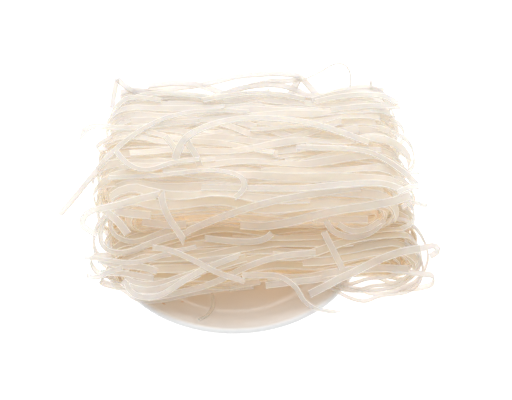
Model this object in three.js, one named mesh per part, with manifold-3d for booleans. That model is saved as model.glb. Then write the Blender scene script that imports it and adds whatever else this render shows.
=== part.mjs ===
// Bundle of dry flat rice noodles lying across the rim of a small white dish.
// Millimetres, +Z up, +X along the noodles, -Y towards the viewer.
// The origin is the centre of the dish's flat base.

import * as THREE from 'three';
import { mergeVertices } from 'three/addons/utils/BufferGeometryUtils.js';
import Module from 'manifold-3d';

const wasm = await Module();
wasm.setup();

// Driving dimensions of the dish
const RIM_RADIUS = 79.5;
const DISH_HEIGHT = 28;
const BASE_RADIUS = 42;
const FOOT_HEIGHT = 3;
const RIM_THICKNESS = 2.6;
const FLOOR_THICKNESS = 6;
const FOOT_CHAMFER = 1;
const BELLY_RADIUS = 58;
const BELLY_RISE = 6;
const WELL_RADIUS = 38;
const DISH_SIDES = 48;
const PROFILE_STEPS = 3;

// Driving dimensions of the noodles
const RIBBON_WIDTH = 4.4;
const RIBBON_THICKNESS = 1.1;
const GAP = 0.4;

// The two folded hanks: the middle of each, its turn about +Z, and its outer sizes
const UPPER_HANK = {
  centre: new THREE.Vector3(14, 25, 64.5),
  yawDegrees: 0,
  length: 182,
  depth: 102,
  height: 28,
};
const LOWER_HANK_HEIGHT = 25.2;
const LOWER_HANK = {
  centre: new THREE.Vector3(17, 5, DISH_HEIGHT + GAP + LOWER_HANK_HEIGHT / 2),
  yawDegrees: 7,
  length: 190,
  depth: 108,
  height: LOWER_HANK_HEIGHT,
};

// How far the solid core stays inside a hank's outer sizes
const CORE_INSET_HEIGHT = 0.8;
const CORE_INSET_SIDE = 2.4;
const CORE_INSET_END = 11;
const CORE_ROUNDING = 7;

// Spacing and unevenness of the strands that lie on the cores
const UPPER_PITCH = 9;
const LOWER_PITCH = 11.7;
const STRAIGHT_STEP = 44;
const TURN_STEPS = 5;
const UNDER_RUN = 24;
const MOST_SWAY = 3;
const MOST_LIFT = 1.5;
const MOST_REACH = 8;
const CORNER_ROUNDING = 12;
const FRONT_EDGE_STRANDS = 3;
const SIDE_STRANDS = 2;
const SIDE_SPREAD = 0.8;
const SIDE_LEAN = 1.4;
const SIDE_PROUD = 0.5;
const SIDE_BEND = 1.6;
const SIDE_TUCK = 5;
const RANDOM_SEED = 20;

// Looks
const NOODLE_FINISH = { color: 0xeee2ce, roughness: 0.45, metalness: 0 };
const DISH_FINISH = { color: 0xf4f3f1, roughness: 0.15, metalness: 0 };

const UP = new THREE.Vector3(0, 0, 1);
const LEANING = new THREE.Vector3(0, -1, 1).normalize();
const DEPTHWAYS = new THREE.Vector3(0, 1, 0);

// Loose strands that stand off the two hanks, as hand-laid routes. Each has the way its flat side faces,
// or, on a loop that turns over, the way its width runs.
const LOOSE_STRANDS = [
  // long stray over the top and out into the air at the left
  {
    faces: UP,
    route: [
      [3, 61, 79], [-34, 39, 79.5], [-63, 19, 79.5], [-80, 0, 76],
      [-92, -12, 69], [-105, -19, 62],
    ],
  },
  // shorter stray at the left
  {
    faces: UP,
    route: [
      [-94, 42, 74], [-80, 44, 78.5], [-62, 44, 79], [-34, 46, 78.5],
    ],
  },
  // bowed strand on top that ends in a square cut
  {
    faces: UP,
    route: [
      [-34, 16, 78.5], [-29, 29, 79.5], [-18, 39, 80], [3, 47, 79.5],
      [36, 46, 79], [81, 26, 79.5],
    ],
  },
  // strand that turns round the left end and is folded to a V over the front edge
  {
    faces: LEANING,
    route: [
      [-72, -26, 58], [-86, -25, 62], [-88, -22, 68], [-78, -21, 74],
      [-60, -20, 77.5], [-43, -17, 79],
    ],
  },
  {
    faces: LEANING,
    route: [
      [-44, -16, 78.5], [-40, -24, 73.5], [-35, -30, 66], [-29, -34, 58],
    ],
  },
  // long strand that climbs the front edge to the right
  {
    faces: LEANING,
    route: [
      [-28, -31, 62], [-8, -29, 69.5], [10, -26, 74.5], [28, -22, 78],
      [66, -13, 79],
    ],
  },
  // hook on top
  {
    faces: UP,
    route: [
      [-70, -3, 78.5], [-40, -1, 79], [-11, 2, 79.5], [3, -2, 80],
      [7, -10, 80], [2, -20, 78.5],
    ],
  },
  // strand that leaves the top at the right and folds back
  {
    faces: UP,
    route: [
      [40, 20, 78.5], [70, 16, 79.5], [88, 14, 79.5], [100, 3, 77],
      [107, -6, 72],
    ],
  },
  // arches that stand clear of the back edge
  {
    faces: UP,
    route: [
      [-54, 72, 76], [-35, 75, 81], [-14, 78, 86], [9, 80, 88],
      [31, 78, 86], [46, 72, 76],
    ],
  },
  {
    faces: UP,
    route: [
      [-20, 68, 77], [5, 73, 82], [28, 74, 83], [52, 72, 80],
      [70, 66, 77],
    ],
  },
  {
    width: LEANING,
    route: [
      [44, 72, 77], [55, 78, 89], [63, 79, 95], [71, 77, 94],
      [74, 74, 88], [70, 68, 76],
    ],
  },
  // pointed fold at the back left corner
  {
    faces: UP,
    route: [
      [-70, 60, 75], [-75, 70, 80], [-73, 78, 84], [-66, 73, 82],
      [-54, 68, 77],
    ],
  },
  // cut end that hangs before the lower hank and turns back at the far right
  {
    faces: LEANING,
    route: [
      [45, -55, 33], [63, -50, 40], [81, -43, 47], [98, -37, 51],
      [112, -31, 51], [119, -28, 46], [112, -26, 40],
    ],
  },
  {
    faces: LEANING,
    route: [
      [39, -47, 37], [63, -44, 42], [90, -41, 43], [110, -40, 39],
      [118, -40, 32], [113, -39, 24], [100, -36, 21],
    ],
  },
  // wavy strand that crosses the lower hank and hangs over the rim
  {
    faces: LEANING,
    route: [
      [-44, -32, 51], [-17, -44, 44], [-2, -48, 38], [13, -47, 39],
      [27, -47, 39], [37, -53, 36], [46, -62, 33], [62, -65, 31],
    ],
  },
  // strand that bulges at the lower left
  {
    faces: LEANING,
    route: [
      [-62, -53, 42], [-50, -60, 36], [-38, -59, 35], [-24, -53, 39],
      [-8, -46, 46], [14, -39, 52],
    ],
  },
  // slack loops that hang past the rim at the lower right
  {
    width: DEPTHWAYS,
    route: [
      [66, -36, 33], [82, -46, 29], [92, -47, 20.5], [106, -45, 21],
      [115, -40, 32], [110, -34, 46], [92, -30, 51],
    ],
  },
  {
    width: DEPTHWAYS,
    route: [
      [72, -28, 34], [88, -36, 27], [100, -37, 21], [112, -34, 27],
      [114, -28, 40], [100, -22, 51],
    ],
  },
  // big arcs that join both hanks at the left end
  {
    width: DEPTHWAYS,
    route: [
      [-56, -20, 74], [-72, -24, 72], [-84, -27, 60], [-85, -31, 45],
      [-76, -36, 34], [-58, -38, 31],
    ],
  },
  {
    width: DEPTHWAYS,
    route: [
      [-52, 0, 77], [-72, 0, 76], [-85, -1, 62], [-85, -4, 46],
      [-78, -8, 34], [-60, -9, 31],
    ],
  },
  {
    width: DEPTHWAYS,
    route: [
      [-52, 24, 77], [-74, 23, 75], [-86, 21, 60], [-84, 17, 42],
      [-74, 13, 33], [-56, 11, 31],
    ],
  },
];

/** Repeatable random numbers from 0 to 1. */
function makeRandom(seed) {
  let state = seed;
  return () => {
    state = (state + 0x6d2b79f5) | 0;
    let mixed = Math.imul(state ^ (state >>> 15), 1 | state);
    mixed = (mixed + Math.imul(mixed ^ (mixed >>> 7), 61 | mixed)) ^ mixed;
    return ((mixed ^ (mixed >>> 14)) >>> 0) / 2 ** 32;
  };
}

const random = makeRandom(RANDOM_SEED);
const between = (low, high) => low + (high - low) * random();

/** The solid of a closed three.js geometry. */
function toSolid(geometry) {
  const bare = geometry.clone();
  bare.deleteAttribute('normal');
  bare.deleteAttribute('uv');
  const merged = mergeVertices(bare, 1e-4);
  const vertProperties = new Float32Array(merged.attributes.position.array);
  const triVerts = new Uint32Array(merged.index.array);
  return new wasm.Manifold(new wasm.Mesh({ numProp: 3, vertProperties, triVerts }));
}

/** The three.js geometry of a solid. */
function toGeometry(solid) {
  const { vertProperties, triVerts } = solid.getMesh();
  const geometry = new THREE.BufferGeometry();
  geometry.setAttribute('position', new THREE.BufferAttribute(vertProperties, 3));
  geometry.setIndex(new THREE.BufferAttribute(triVerts, 1));
  geometry.computeVertexNormals();
  return geometry;
}

/** Joins solids into one body, without loose scraps and with sealed hollows filled. */
function joinIntoOneBody(solids) {
  const joined = solids.reduce((sum, solid) => sum.add(solid));
  const pieces = joined.decompose();
  return pieces.reduce((largest, piece) => (piece.volume() > largest.volume() ? piece : largest));
}

/** A flat ribbon along a row of stations, each a point with the way the flat side faces. */
function ribbonGeometry(stations) {
  const steps = stations.length - 1;
  const geometry = new THREE.BoxGeometry(1, RIBBON_WIDTH, RIBBON_THICKNESS, steps, 1, 1);
  const frames = stations.map(({ point, facing }, index) => {
    const before = stations[Math.max(index - 1, 0)].point;
    const after = stations[Math.min(index + 1, steps)].point;
    const along = after.clone().sub(before).normalize();
    const across = facing.clone().cross(along).normalize();
    const outward = along.clone().cross(across);
    return { point, across, outward };
  });
  const position = geometry.attributes.position;
  for (let index = 0; index < position.count; index += 1) {
    const { point, across, outward } = frames[Math.round((position.getX(index) + 0.5) * steps)];
    const corner = point.clone();
    corner.addScaledVector(across, position.getY(index));
    corner.addScaledVector(outward, position.getZ(index));
    position.setXYZ(index, corner.x, corner.y, corner.z);
  }
  return geometry;
}

/** The half lengths and end radius of the loop that a hank's outermost strands follow. */
function loopOf(hank) {
  const radius = (hank.height - RIBBON_THICKNESS) / 2;
  return { radius, straight: hank.length / 2 - radius, turn: Math.PI * radius };
}

/**
 * A place on a hank's loop in the hank's own frame. The distance along the loop is 0 in the middle of
 * the top and grows to the right, round the end and along the underside; negative goes round the left.
 */
function placeOnLoop(hank, along, y, lift) {
  const { radius, straight, turn } = loopOf(hank);
  const side = Math.sign(along) || 1;
  const travelled = Math.abs(along);
  if (travelled <= straight) {
    return { point: new THREE.Vector3(along, y, radius + lift), facing: UP };
  }
  if (travelled <= straight + turn) {
    const angle = (travelled - straight) / radius;
    const facing = new THREE.Vector3(side * Math.sin(angle), 0, Math.cos(angle));
    const point = new THREE.Vector3(side * straight, y, 0).addScaledVector(facing, radius + lift);
    return { point, facing };
  }
  const left = 2 * straight + turn - travelled;
  return { point: new THREE.Vector3(side * left, y, -radius - lift), facing: UP.clone().negate() };
}

/** Distances along a hank's loop with long steps on the straights and short ones on the turns. */
function stepsAlongLoop(hank, from, to) {
  const { straight, turn } = loopOf(hank);
  const bounds = [-straight - turn, -straight, straight, straight + turn];
  const stops = [from, ...bounds.filter((bound) => bound > from && bound < to), to];
  const steps = [from];
  for (let index = 1; index < stops.length; index += 1) {
    const [start, end] = [stops[index - 1], stops[index]];
    const turning = Math.abs(start + end) / 2 > straight && Math.abs(start + end) / 2 < straight + turn;
    const count = turning ? TURN_STEPS : Math.max(1, Math.round((end - start) / STRAIGHT_STEP));
    for (let step = 1; step <= count; step += 1) {
      steps.push(start + ((end - start) * step) / count);
    }
  }
  return steps;
}

/** A strand that follows a hank's loop and sways, lifts and reaches out at its turns. */
function loopStrand(hank, from, to, y) {
  const { straight, turn } = loopOf(hank);
  const sway = between(-MOST_SWAY, MOST_SWAY);
  const phase = between(0, 2 * Math.PI);
  const waves = between(0.6, 1.6) / hank.length;
  const reach = between(0, MOST_REACH);
  const lift = between(0, MOST_LIFT);
  const limit = (hank.depth - RIBBON_WIDTH) / 2;
  const stations = stepsAlongLoop(hank, from, to).map((along) => {
    const wave = Math.sin(2 * Math.PI * waves * along + phase);
    const angle = THREE.MathUtils.clamp((Math.abs(along) - straight) / turn, 0, 1) * Math.PI;
    const swayed = THREE.MathUtils.clamp(y + sway * wave, -limit, limit);
    const place = placeOnLoop(hank, along, swayed, lift * 0.5 * (1 + wave) * Math.max(0, Math.cos(angle)));
    place.point.x += Math.sign(along) * reach * Math.sin(angle);
    place.point.x *= 1 - (CORNER_ROUNDING * (y / limit) ** 6) / (hank.length / 2);
    return place;
  });
  return ribbonGeometry(stations);
}

/** A strand that runs along the front or back of a hank with its flat side facing out. */
function sideStrand(hank, side, height) {
  const half = hank.depth / 2 - CORE_INSET_SIDE;
  const reach = hank.length / 2 - CORE_INSET_END;
  const slope = (height / hank.height) * SIDE_LEAN;
  const facing = new THREE.Vector3(0, side * Math.cos(slope), Math.sin(slope));
  const inwards = CORE_ROUNDING * (1 - Math.cos(slope));
  const phase = between(0, 2 * Math.PI);
  const stations = [-1, -0.7, -0.35, 0, 0.35, 0.7, 1].map((share) => {
    const bend = SIDE_BEND * Math.sin(2.2 * share + phase);
    const tuckedIn = SIDE_TUCK * share ** 4;
    const y = side * (half - inwards - tuckedIn + SIDE_PROUD + bend / 4);
    return { point: new THREE.Vector3(share * reach, y, height + bend), facing };
  });
  return ribbonGeometry(stations);
}

/** A free strand along a smooth curve through a hand-laid route. */
function looseStrand({ faces, width, route }) {
  const places = route.map((place) => new THREE.Vector3(...place));
  const curve = new THREE.CatmullRomCurve3(places, false, 'centripetal');
  const steps = route.length * 2;
  const stations = Array.from({ length: steps + 1 }, (_, index) => {
    const share = index / steps;
    const facing = faces ?? curve.getTangentAt(share).cross(width);
    return { point: curve.getPointAt(share), facing };
  });
  return ribbonGeometry(stations);
}

/** The solid middle of a hank: a rounded flat loop pressed full of noodles. */
function coreGeometry(hank) {
  const radius = hank.height / 2 - CORE_INSET_HEIGHT;
  const straight = hank.length / 2 - CORE_INSET_END - radius;
  const outline = new THREE.Shape();
  outline.absarc(straight, 0, radius, -Math.PI / 2, Math.PI / 2, false);
  outline.absarc(-straight, 0, radius, Math.PI / 2, 1.5 * Math.PI, false);
  const geometry = new THREE.ExtrudeGeometry(outline, {
    depth: hank.depth - 2 * (CORE_INSET_SIDE + CORE_ROUNDING),
    curveSegments: 6,
    bevelThickness: CORE_ROUNDING,
    bevelSize: CORE_ROUNDING,
    bevelOffset: -CORE_ROUNDING,
    bevelSegments: 2,
  });
  geometry.rotateX(Math.PI / 2);
  geometry.computeBoundingBox();
  const middle = geometry.boundingBox.getCenter(new THREE.Vector3());
  return geometry.translate(0, -middle.y, 0);
}

/** Moves a geometry from a hank's own frame to the part's frame. */
function placeInHank(hank, geometry) {
  geometry.rotateZ(THREE.MathUtils.degToRad(hank.yawDegrees));
  return geometry.translate(...hank.centre.toArray());
}

/** Evenly spread places across a hank's depth. */
function spreadAcross(hank, pitch) {
  const span = hank.depth - RIBBON_WIDTH - 2 * CORE_INSET_SIDE;
  const count = Math.round(span / pitch);
  return Array.from({ length: count + 1 }, (_, index) => -span / 2 + (span * index) / count);
}

/** The front and back strands of a hank, spread over its height. */
function sideStrands(hank) {
  const strands = [];
  for (const side of [-1, 1]) {
    for (let index = 0; index < SIDE_STRANDS; index += 1) {
      const share = (index + 0.5) / SIDE_STRANDS - 0.5;
      strands.push(sideStrand(hank, side, share * hank.height * SIDE_SPREAD));
    }
  }
  return strands;
}

/** The upper hank: its core and the strands over its top and round both ends. */
function upperHankGeometries() {
  const { straight, turn } = loopOf(UPPER_HANK);
  const end = straight + turn + UNDER_RUN;
  const over = spreadAcross(UPPER_HANK, UPPER_PITCH).map((y) => loopStrand(UPPER_HANK, -end, end, y));
  const parts = [coreGeometry(UPPER_HANK), ...over, ...sideStrands(UPPER_HANK)];
  return parts.map((geometry) => placeInHank(UPPER_HANK, geometry));
}

/** The lower hank: its core, the end loops and the strands along its open front edge. */
function lowerHankGeometries() {
  const { straight, turn } = loopOf(LOWER_HANK);
  const start = straight - UNDER_RUN;
  const end = straight + turn + UNDER_RUN;
  const across = spreadAcross(LOWER_HANK, LOWER_PITCH);
  const loops = across.flatMap((y, index) => {
    const alongFront = index < FRONT_EDGE_STRANDS;
    if (alongFront) {
      return [loopStrand(LOWER_HANK, -end, end, y)];
    }
    return [loopStrand(LOWER_HANK, start, end, y), loopStrand(LOWER_HANK, -end, -start, y)];
  });
  const parts = [coreGeometry(LOWER_HANK), ...loops, ...sideStrands(LOWER_HANK)];
  return parts.map((geometry) => placeInHank(LOWER_HANK, geometry));
}

/** The whole bundle as one body. */
function noodleBundle() {
  const geometries = [
    ...upperHankGeometries(),
    ...lowerHankGeometries(),
    ...LOOSE_STRANDS.map(looseStrand),
  ];
  const body = joinIntoOneBody(geometries.map(toSolid));
  const mesh = new THREE.Mesh(toGeometry(body), new THREE.MeshStandardMaterial(NOODLE_FINISH));
  mesh.name = 'noodle_bundle';
  return mesh;
}

/** The shallow flared dish, turned about +Z. */
function dish() {
  const rimMiddle = RIM_RADIUS - RIM_THICKNESS / 2;
  const rimSide = DISH_HEIGHT - RIM_THICKNESS / 2;
  const profile = new THREE.Path();
  profile.moveTo(0, 0);
  profile.lineTo(BASE_RADIUS - FOOT_CHAMFER, 0);
  profile.lineTo(BASE_RADIUS, FOOT_CHAMFER);
  profile.lineTo(BASE_RADIUS, FOOT_HEIGHT);
  profile.quadraticCurveTo(BELLY_RADIUS, FOOT_HEIGHT + BELLY_RISE, RIM_RADIUS, rimSide);
  profile.quadraticCurveTo(RIM_RADIUS, DISH_HEIGHT, rimMiddle, DISH_HEIGHT);
  profile.quadraticCurveTo(RIM_RADIUS - RIM_THICKNESS, DISH_HEIGHT, RIM_RADIUS - RIM_THICKNESS, rimSide);
  profile.quadraticCurveTo(BELLY_RADIUS, FLOOR_THICKNESS + BELLY_RISE, WELL_RADIUS, FLOOR_THICKNESS);
  profile.lineTo(0, FLOOR_THICKNESS);
  const geometry = new THREE.LatheGeometry(profile.getPoints(PROFILE_STEPS), DISH_SIDES);
  geometry.rotateX(Math.PI / 2);
  const mesh = new THREE.Mesh(geometry, new THREE.MeshStandardMaterial(DISH_FINISH));
  mesh.name = 'dish';
  return mesh;
}

const bundleOnDish = new THREE.Group();
bundleOnDish.add(dish(), noodleBundle());

export default bundleOnDish;
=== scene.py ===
"""Looks of a bundle of dry flat rice noodles that lies across the rim of a small white dish.

The bundle is two folded hanks. Each hank is laid strand by strand on a grid that unrolls its loop, so
every ribbon rests on the ribbons laid before it. Loose strands are then let down on the finished hanks.
Sizes in the noodle classes are millimetres, in the part's frame: +Z up, +X along the noodles, the
viewer towards -Y, and the origin at the centre of the dish's base. Blender's meshes are in metres.
"""

from __future__ import annotations

import logging
import math
from dataclasses import dataclass, field
from enum import Enum
from typing import Union

import bmesh
import bpy
import numpy as np
from mathutils import Matrix, Vector

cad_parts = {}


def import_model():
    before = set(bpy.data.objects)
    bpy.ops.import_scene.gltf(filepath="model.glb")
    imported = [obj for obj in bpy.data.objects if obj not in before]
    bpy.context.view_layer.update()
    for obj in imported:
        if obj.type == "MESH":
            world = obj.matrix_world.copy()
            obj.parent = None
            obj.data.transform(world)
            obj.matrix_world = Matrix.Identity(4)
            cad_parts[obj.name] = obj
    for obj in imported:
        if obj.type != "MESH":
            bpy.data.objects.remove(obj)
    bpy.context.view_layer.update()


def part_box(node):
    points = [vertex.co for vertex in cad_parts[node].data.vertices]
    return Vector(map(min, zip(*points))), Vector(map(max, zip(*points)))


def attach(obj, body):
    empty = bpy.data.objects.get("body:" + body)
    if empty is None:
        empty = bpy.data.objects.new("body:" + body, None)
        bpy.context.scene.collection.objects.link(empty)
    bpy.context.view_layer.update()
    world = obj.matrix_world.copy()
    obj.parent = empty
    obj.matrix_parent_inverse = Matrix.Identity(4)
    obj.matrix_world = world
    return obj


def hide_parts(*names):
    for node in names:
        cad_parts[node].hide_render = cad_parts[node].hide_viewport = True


LOG = logging.getLogger("noodle_bundle")
MM = 0.001
BODY = "root"
BUNDLE_NODE = "noodle_bundle"
DISH_NODE = "dish"
TINY = 1e-6
FULL_TURN = 2 * math.pi

Array = np.ndarray
Pair = tuple[float, float]
Place = tuple[float, float, float]
Colour = tuple[float, float, float, float]
Socket = bpy.types.NodeSocket
Given = Union[Socket, float, tuple]
Inputs = dict[Union[str, int], Given]


class Facing(Enum):
    """The way that a loose strand's flat side faces."""

    UP = (0.0, 0.0, 1.0)
    LEANING = (0.0, -0.707, 0.707)


class Width(Enum):
    """The way that the width of a loose strand runs where the strand loops over itself."""

    DEPTHWAYS = (0.0, 1.0, 0.0)
    LEANING = (0.0, -0.707, 0.707)


class StrandKind(Enum):
    """How much of a hank's loop a strand goes round."""

    PART = "part"
    WHOLE = "whole"
    COVER = "painted_shade"


# Small helpers for rows of numbers


def unit(rows: Array) -> Array:
    """Scale each row vector to length one."""
    return rows / np.maximum(np.linalg.norm(rows, axis=-1, keepdims=True), 1e-9)


def along(points: Array) -> Array:
    """Directions of travel at the points of a line, as unit vectors."""
    return unit(np.gradient(points, axis=0))


def gaps(points: Array) -> Array:
    """Distances between neighbouring points of a line."""
    return np.linalg.norm(np.diff(points, axis=0), axis=1)


def running(steps: Array) -> Array:
    """Running sum of a row of steps, with a 0 before the first."""
    return np.concatenate([[0.0], np.cumsum(steps)])


def at_stops(stops: Array, run: Array, rows: Array) -> Array:
    """Read rows between their own places.

    Args:
        stops: Distances to read at.
        run: Distance of each row.
        rows: Vectors, one a row.

    Returns:
        One vector for each stop.
    """
    return np.stack([np.interp(stops, run, rows[:, axis]) for axis in range(3)], axis=1)


def soften(values: Array, reach: int) -> Array:
    """Smooth a row of values with a bell-shaped window.

    Args:
        values: The row to smooth.
        reach: Half the window's width, in steps.

    Returns:
        A smooth row of the same length.
    """
    steps = np.arange(-2 * reach, 2 * reach + 1)
    bell = np.exp(-0.5 * (steps / reach) ** 2)
    bell /= bell.sum()
    padded = np.concatenate([np.full(2 * reach, values[0]), values, np.full(2 * reach, values[-1])])
    return np.convolve(padded, bell, mode="valid")


def bridge(support: Array, step: float, slackness: float) -> Array:
    """Lay a stiff strand over uneven support: it touches the high places and sags between them.

    Args:
        support: Least height at each step.
        step: Distance between steps, mm.
        slackness: Curvature of the deepest sag that the strand takes up, 1/mm.

    Returns:
        The strand's heights, nowhere below the support.
    """
    index = np.arange(len(support)) * step
    fall = slackness * (index[:, None] - index[None, :]) ** 2
    over = (support[None, :] - fall).max(axis=1)
    return (over[None, :] + fall).min(axis=1)


def through(places: Array, spacing: float, fineness: int = 24) -> Array:
    """Draw a smooth curve through given places.

    Args:
        places: The places, one a row.
        spacing: Distance between the points of the curve, mm.
        fineness: Steps between two places that the curve is first drawn with.

    Returns:
        Evenly spaced points on a centripetal Catmull-Rom curve.
    """
    knots = np.vstack([2 * places[0] - places[1], places, 2 * places[-1] - places[-2]])
    times = running(np.sqrt(np.maximum(gaps(knots), TINY)))
    fine = []
    for k in range(1, len(knots) - 2):
        t = np.linspace(times[k], times[k + 1], fineness, endpoint=k == len(knots) - 3)[:, None]
        t0, t1, t2, t3 = times[k - 1 : k + 3]
        p0, p1, p2, p3 = knots[k - 1 : k + 3]
        a1 = (t1 - t) / (t1 - t0) * p0 + (t - t0) / (t1 - t0) * p1
        a2 = (t2 - t) / (t2 - t1) * p1 + (t - t1) / (t2 - t1) * p2
        a3 = (t3 - t) / (t3 - t2) * p2 + (t - t2) / (t3 - t2) * p3
        b1 = (t2 - t) / (t2 - t0) * a1 + (t - t0) / (t2 - t0) * a2
        b2 = (t3 - t) / (t3 - t1) * a2 + (t - t1) / (t3 - t1) * a3
        fine.append((t2 - t) / (t2 - t1) * b1 + (t - t1) / (t2 - t1) * b2)
    line = np.vstack(fine)
    run = running(gaps(line))
    stops = np.linspace(0.0, run[-1], max(3, int(round(run[-1] / spacing)) + 1))
    return at_stops(stops, run, line)


# Small helpers for Blender's data


def linked(name: str, data: bpy.types.ID) -> bpy.types.Object:
    """Make an object at the origin and link it to the scene.

    Args:
        name: Name of the object.
        data: Its mesh, camera or light.

    Returns:
        The object.
    """
    obj = bpy.data.objects.new(name, data)
    bpy.context.scene.collection.objects.link(obj)
    return obj


def rounded_piece(name: str, work: bmesh.types.BMesh) -> bpy.types.Object:
    """Make a smooth-shaded piece of a finished bmesh, and free the bmesh.

    Args:
        name: Name of the piece.
        work: The bmesh, in metres.

    Returns:
        The piece.
    """
    bmesh.ops.recalc_face_normals(work, faces=work.faces)
    for face in work.faces:
        face.smooth = True
    mesh = bpy.data.meshes.new(name)
    work.to_mesh(mesh)
    work.free()
    return linked(name, mesh)


def aim(obj: bpy.types.Object, direction: Vector) -> None:
    """Turn a camera or a light to look in a direction."""
    obj.rotation_euler = direction.to_track_quat("-Z", "Y").to_euler()


# Noodle strands


@dataclass
class Strand:
    """One flat ribbon: where its middle runs and how it is turned at each station.

    Attributes:
        points: Middle of the ribbon at each station, mm.
        across: Unit vectors along the ribbon's width.
        outward: Unit vectors square to its flat side.
        width: Width of the ribbon, mm.
        thickness: Thickness of the ribbon, mm.
        tone: Shade of this strand, about 0 with a spread of 1.
        painted_shade: How much painted shade each station takes, from 0 to 1: warmer and darker in a hank's
            depths, duller on a free strand high up.
        mitre: Slope of the cut at the first and last end, 0 for a square cut.
    """

    points: Array
    across: Array
    outward: Array
    width: float
    thickness: float
    tone: float = 0.0
    painted_shade: Array = field(default_factory=lambda: np.zeros(0))
    mitre: Pair = (0.0, 0.0)

    def upper_side(self, spacing: float, count: int) -> Array:
        """Points spread closely over the ribbon's upper side.

        Args:
            spacing: Distance between samples along the ribbon, mm.
            count: Samples across the width.

        Returns:
            Points, one a row, mm.
        """
        run = running(gaps(self.points))
        stops = np.arange(0.0, run[-1], spacing)
        points, across, outward = (
            at_stops(stops, run, rows) for rows in (self.points, self.across, self.outward)
        )
        shares = np.linspace(-0.5, 0.5, count)[None, :, None] * self.width
        middle = points + outward * self.thickness / 2
        return (middle[:, None, :] + across[:, None, :] * shares).reshape(-1, 3)


@dataclass(frozen=True)
class RibbonSection:
    """Cross-section of a ribbon: flat sides that meet narrow round edges at a crisp corner.

    Attributes:
        edge_share: Part of the half width taken up by each round edge.
    """

    edge_share: float = 0.06

    def outline(self) -> Array:
        """The outline as shares of half the width and half the thickness, counter-clockwise."""
        inner = 1.0 - self.edge_share
        upper = [(1.0, 0.0), (inner, 1.0), (-inner, 1.0)]
        lower = [(-x, -z) for x, z in upper]
        return np.array(upper + lower)

    def crisp(self) -> Array:
        """Which of the outline's corners stay crisp along the ribbon."""
        return np.abs(self.outline()[:, 1]) > 0.5


class StrandMesh:
    """Joins many strands into one mesh piece."""

    GRAIN_SHIFT = 137.0

    def __init__(self, section: RibbonSection) -> None:
        """Keep the cross-section that all strands share."""
        self.outline = section.outline()
        self.crisp = section.crisp()
        self.sides = len(self.outline)

    def piece(self, name: str, strands: list[Strand]) -> bpy.types.Object:
        """Make one mesh object of many strands.

        Args:
            name: Name of the piece.
            strands: The strands to join.

        Returns:
            The new object, at the origin, with its strands in metres.
        """
        quads: list[Array] = []
        caps: list[list[int]] = []
        start = 0
        for strand in strands:
            count = len(strand.points) * self.sides
            grid = start + np.arange(count).reshape(-1, self.sides)
            onward = np.roll(grid, -1, axis=1)
            quads.append(np.stack([grid[:-1], onward[:-1], onward[1:], grid[1:]], axis=-1).reshape(-1, 4))
            caps += [grid[0, ::-1].tolist(), grid[-1].tolist()]
            start += count
        mesh = bpy.data.meshes.new(name)
        verts = np.concatenate([self._verts(strand) for strand in strands])
        faces = np.concatenate(quads).tolist() + caps
        mesh.from_pydata((verts * MM).tolist(), [], faces)
        smooth = np.ones(len(faces), dtype=bool)
        smooth[-len(caps) :] = False
        mesh.polygons.foreach_set("use_smooth", smooth)
        self._crease(mesh)
        self._attach(mesh, strands)
        mesh.update()
        return linked(name, mesh)

    def _verts(self, strand: Strand) -> Array:
        """Sweep the cross-section along a strand.

        Args:
            strand: The strand.

        Returns:
            Its vertices, station by station, mm.
        """
        offsets = self.outline * np.array([strand.width / 2, strand.thickness / 2])
        ring = strand.points[:, None, :] + strand.across[:, None, :] * offsets[None, :, :1]
        ring = ring + strand.outward[:, None, :] * offsets[None, :, 1:]
        for station, mitre in zip((0, -1), strand.mitre):
            ring[station] += along(strand.points)[station][None, :] * (offsets[:, :1] * mitre)
        return ring.reshape(-1, 3)

    def _crease(self, mesh: bpy.types.Mesh) -> None:
        """Keep the ribbons' long corners crisp, so that their flat sides look flat.

        Args:
            mesh: The joined mesh.
        """
        ends = np.zeros(2 * len(mesh.edges), dtype=np.int32)
        mesh.edges.foreach_get("vertices", ends)
        ends = ends.reshape(-1, 2)
        lengthways = np.abs(ends[:, 0] - ends[:, 1]) == self.sides
        sharp = lengthways & self.crisp[ends[:, 0] % self.sides]
        attribute = mesh.attributes.new("sharp_edge", "BOOLEAN", "EDGE")
        attribute.data.foreach_set("value", sharp)

    def _attach(self, mesh: bpy.types.Mesh, strands: list[Strand]) -> None:
        """Store the strands' own coordinates, their tones and their painted shade on the mesh.

        Args:
            mesh: The joined mesh.
            strands: The strands that it joins.
        """
        uvs = []
        for strand in strands:
            run = running(gaps(strand.points)) + self.GRAIN_SHIFT * strand.tone
            shape = (len(run), self.sides)
            lateral = np.broadcast_to(self.outline[None, :, 0], shape)
            length = np.broadcast_to(run[:, None], shape)
            uvs.append(np.stack([length * MM, lateral], axis=-1).reshape(-1, 2))
        corners = np.zeros(len(mesh.loops), dtype=np.int32)
        mesh.loops.foreach_get("vertex_index", corners)
        layer = mesh.uv_layers.new(name="along")
        layer.data.foreach_set("uv", np.concatenate(uvs)[corners].astype(np.float32).ravel())
        tones = np.concatenate([np.full(len(strand.points), strand.tone) for strand in strands])
        painted_shades = np.concatenate([strand.painted_shade for strand in strands])
        for name, values in (("tone", tones), ("painted_shade", painted_shades)):
            attribute = mesh.attributes.new(name, "FLOAT", "POINT")
            attribute.data.foreach_set("value", np.repeat(values, self.sides).astype(np.float32))


# Hanks of strands


@dataclass(frozen=True)
class StrandHabit:
    """How strands of one kind are drawn.

    Attributes:
        tries: Routes that are drawn to find one that lies low.
        slant_degrees: Spread of the slant across the hank.
        waves: Length of each wave across the hank and the spread of its size, mm.
    """

    tries: int
    slant_degrees: float
    waves: tuple[Pair, ...]


WOUND_HABIT = StrandHabit(tries=16, slant_degrees=2.2, waves=((170.0, 2.6), (80.0, 1.3)))
STREWN_HABIT = StrandHabit(tries=48, slant_degrees=3.8, waves=((170.0, 3.4), (80.0, 2.0)))


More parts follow.
